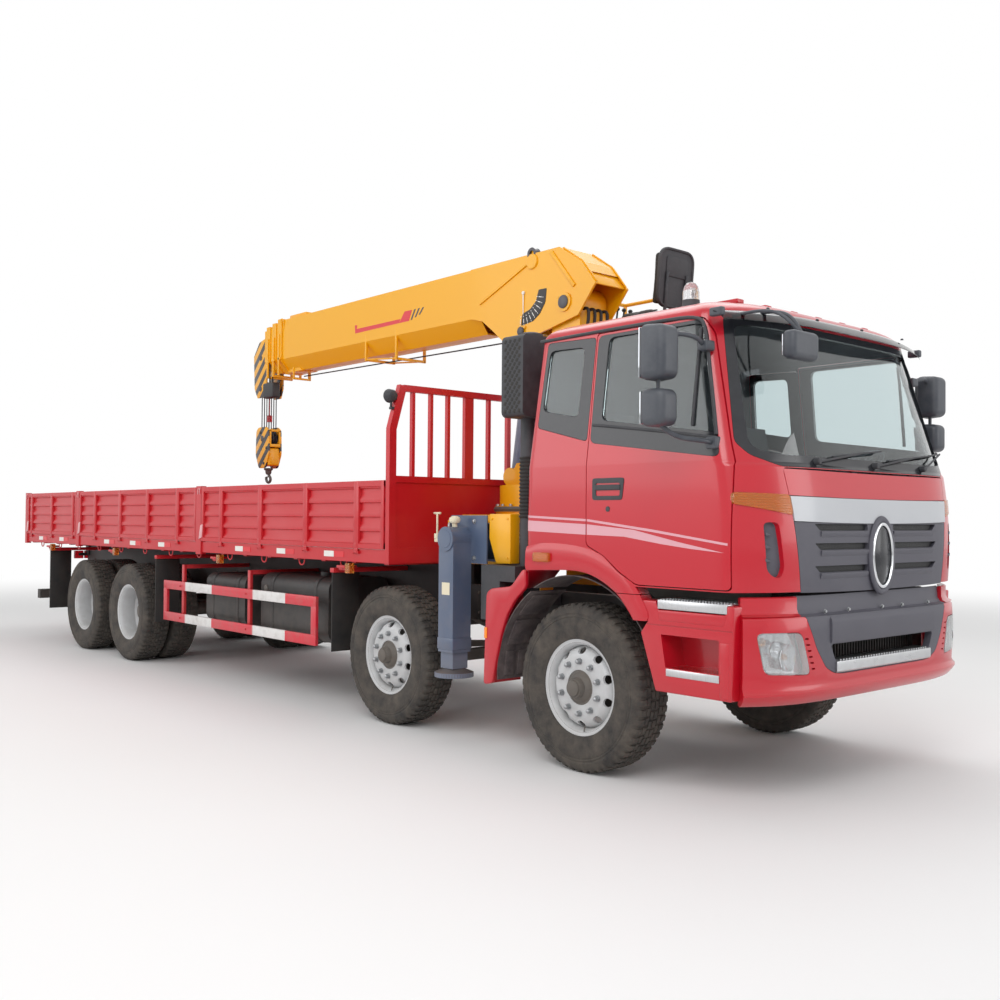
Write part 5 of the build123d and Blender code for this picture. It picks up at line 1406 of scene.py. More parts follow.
step = {"outer": [(0.589, 1.148), (0.661, 1.024), (0.607, 0.955), (0.724, 0.621), (1.262, 0.622), (1.280, 1.148)],
        "pocket": [(0.765, 0.955), (0.800, 0.765), (1.180, 0.765), (1.180, 0.955)],
        "treads": ((1.103, 1.156, 1.236, 0.742, 22), (0.718, 0.761, 1.184, 0.806, 16)),
        "studs": (1.228, 1.20, 1.17, 1.14)}


def makeSteps():
    red, silver = [], []
    for side in (-1, 1):
        body = sideSolid(step["outer"], side, 0.90, 1.241, 0.010, 3)
        cutWith(body, sideSolid(step["pocket"], side, 1.06, 1.4, 0))
        cutWith(body, sideSolid([(0.50, 1.006), (1.4, 1.006), (1.4, 1.012), (0.50, 1.012)], side, 1.236, 1.4, 0))
        cutWith(body, sideSolid([(0.72, 1.155), (0.75, 1.085), (1.22, 1.085), (1.24, 1.155)], side, 1.10, 1.4, 0))
        red.append(body)
        red.append(boxBetween((1.186, side * 1.20, 0.632), (1.252, side * 1.2445, 0.945), 0.008, 3))
        red.append(sideSolid([(0.735, 1.098), (0.755, 1.030), (1.215, 1.030), (1.235, 1.098)], side, 1.20, 1.2445,
                             0.010, 3))
        for low, high, front, rear, count in step["treads"]:
            silver.append(boxBetween((rear, side * 1.0, high - 0.010), (front, side * 1.243, high), 0.002))
            silver.append(boxBetween((rear, side * 1.232, low), (front, side * 1.2445, high), 0.003))
            for k in range(count):
                x = rear + 0.02 + (front - rear - 0.04) * k / (count - 1)
                for y in step["studs"]:
                    silver.append(roundedBox((at(x) - 0.006, side * (y - 0.008), high - 0.002),
                                             (at(x) + 0.006, side * (y + 0.008), high + 0.004), 0))
    finished(red, "cabSteps", "cabRed", "chassis")
    finished(silver, "stepTreads", "stainless", "chassis")


makeGuards()
makeMudguards()
makeSteps()
print("stage: guards and steps made")

# load bed: pressed drop boards with their ribs, hinges, levers, reflectors and lamps

bed = {"bottom": 1.375, "top": 1.915, "topRail": 0.045, "lowRail": 0.040, "rows": 4, "ridge": 0.011, "trough": 0.029,
       "back": 0.040, "rib": 0.036, "hingeHeight": 1.345, "half": 1.250,
       "boards": (("rear", -10.400, -8.580, (-10.237, -9.465, -8.711)),
                  ("middle", -8.480, -5.270, (-7.974, -7.221, -6.465, -5.714)),
                  ("front", -5.160, -2.010, (-4.743, -3.977, -3.184, -2.402))),
       "posts": (-8.53, -5.215), "tail": -10.470, "tailHalf": 1.185, "tailRibs": (-0.9, -0.3, 0.3, 0.9)}


def boardSection():      # (depth behind the outer face, height) round a pressed board
    start, stop = bed["bottom"] + bed["lowRail"], bed["top"] - bed["topRail"]
    pitch = (stop - start) / bed["rows"]
    line = [(bed["back"], bed["bottom"]), (0.003, bed["bottom"]), (0.0, bed["bottom"] + 0.003), (0.0, start - 0.004),
            (0.004, start)]
    for row in range(bed["rows"]):
        low = start + row * pitch
        line += [(bed["ridge"], low + 0.004), (bed["ridge"], low + 0.012), (bed["trough"], low + 0.046),
                 (bed["trough"], low + pitch - 0.020), (bed["ridge"], low + pitch - 0.012)]
    line += [(bed["ridge"], stop - 0.006), (0.0, stop), (0.0, bed["top"] - 0.004), (0.004, bed["top"]),
             (bed["back"], bed["top"])]
    return line


def makeBoard(name, node, body, axis, low, high, ribs, outer):      # outer turns a depth into a place across it
    section = [(outer(depth), z) for depth, z in boardSection()]
    parts = [plate(section, axis, low, high, bevel=0)]

    def box(start, end, near, far, foot, head, bevel=0.003):
        one, two = [0, 0, foot], [0, 0, head]
        along, across = (0, 1) if axis == "x" else (1, 0)
        one[along], two[along], one[across], two[across] = start, end, outer(near), outer(far)
        return roundedBox(one, two, bevel)

    for place in (low, high - 0.042):
        parts.append(box(place, place + 0.042, -0.0006, bed["back"], bed["bottom"] + 0.001, bed["top"] - 0.001))
    for place in ribs:
        parts.append(box(place - bed["rib"], place + bed["rib"], -0.0012, bed["back"] - 0.001, bed["bottom"] + 0.001,
                         bed["top"] + 0.0006, 0.006))
        parts.append(box(place - 0.024, place + 0.024, 0.001, 0.0085, bed["hingeHeight"], bed["bottom"] + 0.002, 0.002))
        ends = []
        for move in (-0.025, 0.025):
            end = [0, 0, bed["hingeHeight"]]
            end[0 if axis == "x" else 1], end[1 if axis == "x" else 0] = place + move, outer(0.0025)
            ends.append(end)
        parts.append(rod(*ends, 0.0108, 16))
        parts.append(box(place - 0.014, place + 0.014, -0.004, 0.012, bed["bottom"] + 0.012, bed["bottom"] + 0.05,
                         0.004))
    finished(parts, name, "bedRed", body)
    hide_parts(node)


def makeBoards():
    for word, side in sides:
        for name, rear, front, ribs in bed["boards"]:
            makeBoard(f"board.{word}.{name}", f"{word}_board_{name}", f"{word}_{name}_board", "x",
                      at(rear) + 0.008, at(front) - 0.008, [at(place) for place in ribs],
                      lambda depth: side * (bed["half"] - depth))
    makeBoard("tailBoard", "tailgate", "tail_board", "y", -bed["tailHalf"], bed["tailHalf"], bed["tailRibs"],
              lambda depth: at(bed["tail"]) + depth)


fitting = {"face": 1.2352, "low": 1.297, "high": 1.345, "markers": (-9.6, -7.5, -4.9, -2.62), "tailLever": -10.44,
           "workLamp": (-1.99, -1.222, 2.571), "rearLamps": (-0.50, -0.36, 0.36, 0.50), "hooks": 12,
           "hookStart": -9.9, "hookStep": 0.66}


def makeBedFittings():
    pale, red, white, amber, cords = [], [], [], [], []
    low, high = fitting["low"], fitting["high"]
    for side in (-1, 1):
        near, far = side * fitting["face"], side * fitting["face"] + side * 0.003
        for *others, ribs in bed["boards"]:
            for one, two in zip(ribs, ribs[1:]):
                middle = (one + two) / 2
                white.append(boxBetween((middle - 0.10, near, low), (middle + 0.05, far, high), 0.001, 1))
                red.append(boxBetween((middle + 0.055, near, low), (middle + 0.20, far, high), 0.001, 1))
        for place in fitting["markers"]:
            cords.append(boxBetween((place - 0.10, side * 1.10, 1.205), (place + 0.02, side * 1.225, 1.228),
                                    0.004))
            cords.append(turned([(0, 0), (0, 0.020), (0.15, 0.020), (0.15, 0)], (at(place - 0.12), side * 1.17, 1.20),
                                "x", 16))
            amber.append(boxBetween((place + 0.022, side * 1.17, 1.165), (place + 0.088, side * 1.225, 1.25),
                                    0.008, 3))
        for place in (*bed["posts"], fitting["tailLever"]):
            pale.append(sideSolid([(place + 0.02, 1.395), (place + 0.085, 1.415), (place + 0.105, 1.545),
                                   (place + 0.055, 1.535)], side, 1.2505, 1.2575, 0.002))
            for x in (at(place - 0.018), at(place + 0.018)):
                pale.append(tube([(x, side * 1.252, 1.845), (x + 0.01, side * 1.256, 1.875),
                                  (x + 0.012, side * 1.250, 1.91), (x, side * 1.235, 1.922)], 0.0045))
    finished(pale, "boardLevers", "leverPaint", "chassis")
    finished(white, "whiteReflectors", "white", "chassis")
    finished(red, "redReflectors", "boomRed", "chassis")
    finished(amber, "sideMarkerLamps", "amber", "chassis")
    finished(cords, "markerBrackets", "bedRed", "chassis")
    lampX, lampY, lampZ = fitting["workLamp"]
    lampAt = (at(lampX), lampY, lampZ)
    shell = turned([(0.052, 0), (0.052, 0.030), (0.040, 0.046), (0.0, 0.053), (-0.004, 0.055), (-0.010, 0.054),
                    (-0.010, 0.046), (0.0, 0.046), (0.03, 0.03), (0.03, 0)], lampAt, "x", 28)
    stem = rod((at(-1.97), lampY, 2.48), (at(-1.97), lampY, 2.53), 0.010)
    hold = boxBetween((-1.985, -1.232, 2.465), (-1.955, -1.175, 2.485), 0.003)
    finished([shell, stem, hold], "workLampShell", "blackPlastic", "chassis", 50)
    lens = turned([(-0.008, 0), (-0.008, 0.0455), (-0.012, 0.045), (-0.018, 0.03), (-0.020, 0)], lampAt, "x", 28)
    finished(lens, "workLampLens", "lampClear", "chassis", 60)
    lamps = [boxBetween((-10.455, y - 0.10, 1.02), (-10.40, y + 0.02, 1.13), 0.008)
             for y in fitting["rearLamps"]]
    finished(lamps, "rearLamps", "redLens", "chassis")
    ties = [boxBetween((-10.41, -0.55, 1.06), (-10.37, 0.55, 1.10), 0.004)]
    ties += [boxBetween((-10.41, y - 0.02, 1.07), (-10.30, y + 0.02, 1.27), 0.004) for y in (-0.43, 0.43)]
    finished(ties, "rearLampBar", "frameBlack", "chassis")
    hooks = []
    for y in (-1.205, 1.205):
        for k in range(fitting["hooks"]):
            x = at(fitting["hookStart"] + k * fitting["hookStep"])
            hooks.append(tube([(x - 0.045, y, 1.262), (x - 0.045, y, 1.225), (x, y, 1.205), (x + 0.045, y, 1.225),
                               (x + 0.045, y, 1.262)], 0.006))
    finished(hooks, "ropeHooks", "bedRed", "chassis")


floorSheet = {"front": -1.976, "step": 1.205, "count": 6, "half": 1.184, "top": 1.370, "bead": 0.006, "ringY": 1.10}


def makeFloor():      # weld beads between the floor sheets, and lashing rings in their plates
    beads, plates, rings = [], [], []
    high = floorSheet["top"] + 0.0028
    for k in range(1, floorSheet["count"] + 1):
        x = at(floorSheet["front"] - k * floorSheet["step"])
        beads.append(roundedBox((x - floorSheet["bead"], -floorSheet["half"], floorSheet["top"] - 0.002),
                                (x + floorSheet["bead"], floorSheet["half"], high), 0.0022, 2))
        for y in (-floorSheet["ringY"], floorSheet["ringY"]):
            plates.append(roundedBox((x + 0.52, y - 0.05, floorSheet["top"] - 0.002),
                                     (x + 0.66, y + 0.05, high + 0.002), 0.002, 2))
            rings.append(tube([(x + 0.59 + cos(turn * pi / 8) * 0.036, y + sin(turn * pi / 8) * 0.036,
                                high + 0.008) for turn in range(16)], 0.006, cyclic=True))
            rings.append(roundedBox((x + 0.58, y - 0.052, high), (x + 0.60, y - 0.022, high + 0.018), 0.004, 2))
    finished(beads + plates, "floorSeams", "bedRed", "chassis", 40)
    finished(rings, "lashingRings", "zinc", "chassis", 50)


makeBoards()
makeBedFittings()
makeFloor()
print("stage: load bed made")

# crane: boom details, head, hook, column, legs and lines

boom = {"root": 0.190, "guards": ((-3.873, 3.150, 0.165, 0.012), (-3.371, 3.110, 0.165, 0.012),
                                  (-5.352, 3.115, 0.10, 0.010)), "marks": 9,
        "rootPlates": (([(-2.127, 3.440), (-2.110, 3.466), (-1.490, 3.722), (-1.500, 3.694)], 0.203),
                       ([(-1.275, 3.735), (-1.240, 3.745), (-0.985, 3.440), (-1.010, 3.420)], 0.201)),
        "cover": [(-1.180, 3.758), (-0.945, 3.602), (-0.795, 3.425), (-0.802, 3.418), (-0.955, 3.590),
                  (-1.188, 3.746)],
        "coverRib": [(-1.150, 3.752), (-0.935, 3.608), (-0.790, 3.432), (-0.782, 3.440), (-0.926, 3.620),
                     (-1.145, 3.764)],
        "gauge": [(-1.401, 3.462), (-1.308, 3.460), (-1.322, 3.350), (-1.385, 3.265), (-1.466, 3.216),
                  (-1.606, 3.196), (-1.592, 3.292), (-1.500, 3.318), (-1.430, 3.375)]}
boomHead = {"x": -6.06, "upper": 3.42, "lower": 3.07, "rows": (-0.045, -0.015, 0.015, 0.045),
            "cheek": [(-5.930, 3.640), (-6.100, 3.600), (-6.222, 3.450), (-6.200, 3.080), (-6.130, 2.970),
                      (-5.980, 2.970), (-5.930, 3.080)]}


def makeBoomRoot():
    yellow, dark = [], []
    for side in (-1, 1):
        root = side * boom["root"]
        yellow += [sideSolid(outline, side, 0.188, far, 0.003) for outline, far in boom["rootPlates"]]
        yellow.append(turned([(0, 0), (0, 0.062), (0.010, 0.062), (0.014, 0.056), (0.014, 0)],
                             (at(-1.478), root, 3.700), (0, side, 0), 28))
        yellow.append(sideSolid([(-1.520, 3.70), (-1.440, 3.70), (-1.462, 3.800), (-1.500, 3.800)], side, 0.150, 0.176,
                                0.004))
        for x, z, size in ((-1.110, 3.320, 0.052), (-1.600, 3.150, 0.036)):
            dark.append(turned([(0, 0), (0, size), (0.010, size), (0.014, size * 0.85), (0.014, 0)],
                               (at(x), side * 0.199, z), (0, side, 0), 28))
            yellow.append(boltRow([(at(x) + size * 1.35 * cos(turn), root + side * 0.004,
                                    z + size * 1.35 * sin(turn)) for turn in (0.6, 2.5)], "y", 0.010, side * 0.009))
    cover = sideSolid(boom["cover"], 1, -0.172, 0.172, 0.002)
    ribs = [sideSolid(boom["coverRib"], 1, y, y + 0.012, 0.002) for y in (-0.17, 0.158)]
    finished([cover, *ribs], "boomRootCover", "craneYellow", "boom_root")
    roller = turned([(-0.028, 0.026), (-0.028, 0.050), (-0.020, 0.044), (0.020, 0.044), (0.028, 0.050),
                     (0.028, 0.026)], (at(-1.490), -0.163, 3.768), "y", 28)
    finished([roller, *dark], "boomRootPins", "darkGrey", "boom_root", 40)
    finished(yellow, "boomRootRibs", "craneYellow", "boom_root")
    gauge = sideSolid(softened(boom["gauge"], 0.012), -1, 0.189, 0.193, 0.001)
    finished(gauge, "angleGaugePlate", "frameBlack", "boom_root")
    marks = []
    middle = Vector((-1.590, 3.445))
    for k in range(boom["marks"]):
        angle = radians(-6 + k * 10.5)
        ray, aside = Vector((sin(angle), -cos(angle))), Vector((cos(angle), sin(angle)))
        for near, far, half in ((0.170, 0.182, 0.0022), (0.196, 0.232, 0.0030), (0.240, 0.252, 0.0022)):
            line = [middle + ray * near - aside * half, middle + ray * far - aside * half,
                    middle + ray * far + aside * half, middle + ray * near + aside * half]
            marks.append(sideSolid([tuple(point) for point in line], -1, 0.1925, 0.1942, 0))
    pointer = sideSolid([(-1.583, 3.462), (-1.571, 3.462), (-1.574, 3.285), (-1.579, 3.285)], -1, 0.196, 0.200, 0)
    knob = turned([(0, 0), (0, 0.014), (0.014, 0.014), (0.016, 0)], (at(-1.577), -0.189, 3.462), (0, -1, 0), 16)
    finished([*marks, pointer, knob], "angleGaugeMarks", "white", "boom_root")


def makeBoomStripes():
    for word, side in sides:
        red = [sideSolid(outline, side, 0.1748, 0.1762, 0) for outline in (
            [(-4.062, 3.525), (-4.018, 3.519), (-4.030, 3.482), (-4.055, 3.442)],
            [(-4.055, 3.442), (-4.030, 3.484), (-3.300, 3.484), (-3.318, 3.448)],
            [(-3.318, 3.448), (-3.235, 3.545), (-3.118, 3.545), (-3.165, 3.448)])]
        marks = [sideSolid([(-3.140 + k * 0.062, 3.452 + k * 0.016), (-3.085 + k * 0.062, 3.545),
                            (-3.060 + k * 0.062, 3.545), (-3.118 + k * 0.062, 3.452 + k * 0.016)],
                           side, 0.1748, 0.1762, 0) for k in range(3)]
        finished(red, f"boomStripe.{word}", "boomRed", "boom_root")
        finished(marks, f"boomTicks.{word}", "darkGrey", "boom_root")


def frameLoop(x, low, half, size):      # a rope guard: two drops and a foot under the boom
    return [roundedBox((at(x) - size, side * half - size, low), (at(x) + size, side * half + size, 3.40), 0.003)
            for side in (-1, 1)] + [roundedBox((at(x) - size, -half, low), (at(x) + size, half, low + size * 2), 0.003)]


def makeBoomFittings():
    parts = [piece for row in boom["guards"] for piece in frameLoop(*row)]
    for side in (-1, 1):
        parts.append(rod((at(-3.873), side * 0.165, 3.165), (at(-3.371), side * 0.165, 3.125), 0.008, 10))
    parts.append(sideSolid([(-5.40, 3.34), (-5.18, 3.20), (-5.48, 3.196), (-5.48, 3.34)], 1, -0.10, 0.10, 0.004))
    parts.append(boxBetween((-5.43, -0.11, 3.764), (-5.10, 0.11, 3.816)))
    parts.append(tube([(at(-5.46), -0.172, 3.64), (at(-5.50), -0.186, 3.72), (at(-5.475), -0.186, 3.79),
                       (at(-5.435), -0.186, 3.75), (at(-5.44), -0.172, 3.66)], 0.007, steps=8))
    finished(parts, "boomFittings", "craneYellow", "boom_root")
    for number, nose, word in ((1, -5.65, "boom_second"), (2, -5.81, "boom_third")):
        half, low = 0.175 - 0.019 * number + 0.010, 3.165
        extra = []
        for side in (-1, 1):
            extra.append(roundedBox((at(nose) - 0.045, side * (half - 0.004), 3.335),
                                    (at(nose) + 0.012, side * (half + 0.016), 3.360), 0.003))
            extra.append(roundedBox((at(nose) - 0.035, side * (half - 0.006), low),
                                    (at(nose) - 0.005, side * (half + 0.014), 3.60), 0.004))
        extra.append(roundedBox((at(nose) - 0.033, -half, low), (at(nose) - 0.007, half, low + 0.022), 0.003))
        finished(extra, f"sectionCollar.{number}", "craneYellow", word)
    front = [boxBetween((-5.545, side * 0.184, 3.335), (-5.475, side * 0.199, 3.362), 0.003) for side in (-1, 1)]
    front += [boxBetween((-5.535, side * 0.199, 3.165), (-5.505, side * 0.184, 3.62)) for side in (-1, 1)]
    finished(front, "frontCollar", "craneYellow", "boom_root")


def sheave(y, z, half, hole, rim, groove, steps=32):      # a grooved wheel under or in the boom's head
    lip = half - 0.005
    return turned([(y - half, hole), (y - half, rim), (y - lip, groove), (y + lip, groove), (y + half, rim),
                   (y + half, hole)], (at(boomHead["x"]), 0, z), "y", steps)


def makeHead():
    for word, side in sides:
        cheek = sideSolid(softened(boomHead["cheek"], 0.03), side, 0.093, 0.112, 0.003)
        finished(cheek, f"headCheek.{word}", "hazard", "boom_head")
    dark = [turned([(-0.1145, 0), (-0.1145, 0.03), (0.1145, 0.03), (0.1145, 0)], (at(boomHead["x"]), 0, z), "y", 20)
            for z in (boomHead["lower"], boomHead["upper"])]
    for y in boomHead["rows"]:
        dark.append(sheave(y, boomHead["upper"], 0.013, 0.03, 0.094, 0.082, 36))
    finished(dark, "headSheaves", "darkGrey", "boom_head", 40)
    switch = boxBetween((-5.92, -0.165, 2.945), (-5.70, -0.066, 3.115), 0.018, 3)
    stay = [rod((at(-5.82), y, 3.10), (at(-5.82), y, 3.34), 0.009, 12) for y in (-0.13, -0.095)]
    weight = turned([(0, 0), (0, 0.030), (0.07, 0.030), (0.075, 0.024), (0.075, 0)], (at(-5.84), -0.115, 2.68), "z", 20)
    finished([switch, *stay], "hoistLimitSwitch", "frameBlack", "boom_head")
    wire = rod((at(-5.84), -0.115, 2.75), (at(-5.84), -0.115, 2.95), 0.004, 8)
    finished([weight, wire], "limitWeight", "redLens", "boom_head")


block = {"sheaves": 2.51, "cheek": [(-6.20, 2.600), (-6.15, 2.640), (-5.97, 2.640), (-5.92, 2.600),
                                    (-5.91, 2.330), (-5.985, 2.175), (-6.135, 2.175), (-6.21, 2.330)],
         "claw": [(0.0, 2.125), (0.002, 2.10), (0.030, 2.084), (0.050, 2.058), (0.044, 2.030), (0.020, 2.015),
                  (-0.010, 2.015), (-0.036, 2.030), (-0.048, 2.056), (-0.047, 2.078)],
         "bars": ((0.128, 0.146, -0.068, -0.048, 2.43, 2.60), (0.128, 0.146, 0.048, 0.068, 2.43, 2.60),
                  (0.128, 0.146, -0.068, 0.068, 2.585, 2.61), (0.120, 0.148, -0.068, 0.068, 2.41, 2.445))}


def makeHook():
    middle, lower = boomHead["x"], boomHead["lower"]
    falls, dark = [], []
    for y in boomHead["rows"]:
        for move in (-0.079, 0.079):
            falls.append(rod((at(middle + move), y, 2.585), (at(middle + move), y, lower), 0.006, 10))
        dark.append(sheave(y, lower, 0.012, 0.041, 0.085, 0.074))
        dark.append(sheave(y, block["sheaves"], 0.012, 0.02, 0.092, 0.080))
    dark.append(turned([(-0.07, 0.0255), (-0.07, 0.04), (0.07, 0.04), (0.07, 0.0255)], (at(middle), 0, lower), "y", 24))
    finished(falls, "ropeFalls", "ropeSteel", "hook")
    finished(dark, "hookSheaves", "darkGrey", "hook", 40)
    cheeks = [sideSolid(softened(block["cheek"], 0.03), side, 0.066, 0.084, 0.004) for side in (-1, 1)]
    whole = finished(cheeks, "hookCheeks", "hazard", "hook")
    fill = [boxBetween((middle - 0.135, -0.068, 2.20), (middle + 0.135, 0.068, 2.40), 0.02, 3),
            boxBetween((middle - 0.150, -0.068, 2.40), (middle - 0.130, 0.068, 2.60), 0.004)]
    fill += [boxBetween((middle + rear, near, low), (middle + front, far, high), 0.003)
             for rear, front, near, far, low, high in block["bars"]]
    finished(fill, "hookBlockBody", "craneYellow", "hook")
    pins = boltRow([(at(x), -0.083, z) for x, z in ((-6.10, 2.58), (-6.02, 2.23), (-5.96, 2.40))], "y", 0.014, -0.010)
    pinEnd = turned([(-0.086, 0), (-0.086, 0.034), (-0.082, 0.038), (0.082, 0.038), (0.086, 0.034), (0.086, 0)],
                    (at(middle), 0, block["sheaves"]), "y", 24)
    swivel = turned([(2.105, 0), (2.105, 0.026), (2.125, 0.034), (2.150, 0.036), (2.158, 0.050), (2.176, 0.052),
                     (2.180, 0)], (at(middle), 0, 0), "z", 28)
    claw = tube([(at(middle + x), 0, z) for x, z in block["claw"]], 0.0155, steps=6, ring=4)
    latch = boxBetween((middle - 0.052, -0.006, 2.072), (middle - 0.002, 0.006, 2.084), 0.003)
    finished([pins, pinEnd, swivel, claw, latch], "hookForging", "castIron", "hook", 50)
    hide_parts("hook_block")


def makeHoistRope():
    upper = rod((at(-5.40), 0.06, 3.168), (at(-1.90), 0.06, 3.140), 0.0065, 10)
    finished(upper, "hoistRope", "ropeSteel", "boom_root")


leg = {"sides": (("right", -1, -1.335), ("left", 1, -1.170)), "out": 1.085}


def makeLegs():
    for word, side, legX in leg["sides"]:
        beam, foot = f"{word}_outrigger_beam", f"{word}_outrigger_foot"
        y = side * leg["out"]
        head = turned([(0, 0), (0, 0.086), (0.006, 0.090), (0.150, 0.090), (0.156, 0.084), (0.156, 0.066),
                       (0.160, 0.064), (0.160, 0)], (at(legX), side * 1.023, 1.470), (0, side, 0), 40)
        collar = roundedBox((at(legX) - 0.092, y - 0.090, 0.66), (at(legX) + 0.092, y + 0.090, 0.745), 0.006)
        cutWith(collar, roundedBox((at(legX) - 0.080, y - 0.080, 0.6), (at(legX) + 0.080, y + 0.080, 0.8), 0))
        finished([head, collar], f"legHead.{word}", "legBlue", beam, 40)
        knob = turned([(0, 0), (0, 0.020), (0.030, 0.020), (0.034, 0.036), (0.052, 0.044), (0.070, 0.040),
                       (0.082, 0.022), (0.085, 0)], (at(legX), side * 1.09, 1.555), "z", 28)
        sticker = roundedBox((at(legX) - 0.045, side * 1.1695, 1.06), (at(legX) + 0.045, side * 1.1712, 1.15), 0)
        finished([knob, sticker], f"legKnob.{word}", "knob", beam, 50)
        bolts = boltRow([(at(legX) + dx, side * 1.001, z) for dx in (-0.12, 0.12) for z in (1.33, 1.60)], "y", 0.014,
                        side * 0.012)
        pipe = tube([(at(legX) - 0.06, side * 1.10, 1.52), (at(legX) - 0.11, side * 1.06, 1.60),
                     (at(legX) - 0.13, side * 1.015, 1.56), (at(legX) - 0.125, side * 1.012, 1.30),
                     (at(legX) - 0.12, side * 1.012, 1.22)], 0.010, steps=8)
        finished([bolts, pipe], f"legPipes.{word}", "zinc", beam, 50)
        pad = turned([(0.458, 0), (0.458, 0.138), (0.463, 0.145), (0.486, 0.145), (0.492, 0.140), (0.512, 0.090),
                      (0.520, 0.060), (0.56, 0.055), (0.56, 0)], (at(legX), y, 0), "z", 44)
        finished(pad, f"legPad.{word}", "darkGrey", foot, 40)


control = {"hoses": 4, "loops": 3, "levers": 6, "leverStep": 0.075}


def makeBaseLines():
    hoses, pipes = [], []
    for k in range(control["hoses"]):
        y = -0.62 - k * 0.045
        hoses.append(tube([(at(-1.02), y, 1.34), (at(-0.93), y - 0.01, 1.26), (at(-0.90), y - 0.02, 1.08 - k * 0.03),
                           (at(-1.02), y + 0.02, 0.98 - k * 0.03), (at(-1.20), y + 0.04, 1.02)], 0.012, steps=8))
    for k in range(control["loops"]):
        y = 0.30 + k * 0.10
        hoses.append(tube([(at(-1.62), y, 1.55), (at(-1.70), y, 1.62), (at(-1.74), y, 1.45), (at(-1.66), y, 1.32)],
                          0.012, steps=8))
        pipes.append(tube([(at(-1.03), -0.30 + k * 0.05, 1.60), (at(-1.03), -0.55 + k * 0.03, 1.56),
                           (at(-1.03), -0.80, 1.40 + k * 0.05), (at(-1.05), -0.94, 1.35 + k * 0.05)], 0.007, steps=6))
    finished(hoses, "baseHoses", "hose", "chassis", 60)
    valve, levers = [], []
    for k in range(control["levers"]):
        y = k * control["leverStep"]
        valve.append(boxBetween((-1.045, -0.40 + y, 1.42), (-0.985, -0.335 + y, 1.54), 0.006))
        foot = Vector((at(-1.012), -0.367 + y, 1.54))
        levers.append(rod(foot, foot + Vector((0.01, 0, 0.13)), 0.006, 10))
        levers.append(turned([(0, 0), (0.004, 0.012), (0.014, 0.016), (0.024, 0.012), (0.028, 0)],
                             foot + Vector((0.01, 0, 0.125)), "z", 16))
    handle = [rod((at(-1.62), -1.03, 1.50), (at(-1.62), -1.03, 1.66), 0.008, 12),
              rod((at(-1.66), -1.03, 1.66), (at(-1.58), -1.03, 1.66), 0.008, 12),
              turned([(0, 0), (0, 0.024), (0.035, 0.024), (0.035, 0)], (at(-1.62), -1.03, 1.47), "z", 18)]
    stay = boxBetween((-1.64, -1.045, 1.44), (-1.50, -0.985, 1.475), 0.004)
    finished(valve, "valveBank", "castIron", "chassis")
    finished([*levers, *pipes], "controlLevers", "zinc", "chassis", 50)
    finished([*handle, stay], "shutOffValve", "knob", "right_outrigger_beam", 50)


def makeBaseCover():
    outline = [(-1.060, 1.655), (-0.830, 1.655), (-0.830, 1.300), (-0.985, 1.300), (-1.060, 1.480)]
    cover = sideSolid(outline, -1, 0.900, 0.990, 0.006)
    heads = boltRow([(at(x), -0.990, z) for x, z in ((-1.03, 1.62), (-0.86, 1.62), (-0.86, 1.34))], "y", 0.008, -0.006)
    finished([cover, heads], "baseCover", "craneYellow", "chassis", 40)


column = {"x": -1.45, "boltCircle": 0.432, "bolts": 24, "hoses": 4,
          "route": [(-0.985, 3.26), (-0.93, 3.27), (-0.925, 3.18), (-0.956, 3.06), (-0.944, 2.93), (-0.978, 2.65),
                    (-1.005, 2.40), (-1.050, 2.00), (-1.06, 1.86)]}


def makeColumnDetails():
    centre = Vector((at(column["x"]), 0, 0))
    ring = turned([(1.678, 0.30), (1.678, 0.452), (1.700, 0.460), (1.718, 0.452), (1.722, 0.30)], centre, "z", 72)
    finished(ring, "slewRing", "castIron", "slewing_column", 40)
    angles = [turn * 2 * pi / column["bolts"] for turn in range(column["bolts"])]
    bolts = boltRow([centre + Vector((cos(angle) * column["boltCircle"], sin(angle) * column["boltCircle"], 1.722))
                     for angle in angles], "z", 0.013, 0.014)
    finished(bolts, "slewBolts", "zinc", "slewing_column")
    hoses = [tube([(at(x), -0.105 + k * 0.07, z) for x, z in column["route"]], 0.013, steps=6)
             for k in range(column["hoses"])]
    finished(hoses, "columnHoses", "hose", "slewing_column", 60)
    clips = [roundedBox((at(x) - 0.045, -0.16, z), (at(x), 0.16, z + 0.03), 0.005)
             for x, z in ((-0.988, 2.395), (-1.034, 2.05))]
    finished(clips, "hoseClips", "craneYellow", "slewing_column")


makeBoomRoot()
makeBoomStripes()
makeBoomFittings()
makeHead()
makeHook()
makeHoistRope()
makeLegs()
makeBaseLines()
makeBaseCover()
makeColumnDetails()
print("stage: crane details made")

# operator's seat: a moulded shell with two sewn cushions, on the crane's platform

seat = {"low": 3.238, "high": 3.318, "rear": -1.145, "front": -0.765, "near": 0.445, "far": 0.870, "backFoot": 3.345,
        "backTop": 3.790, "lean": 0.09, "voxel": 0.007, "pressure": 4.0, "cap": 0.014}


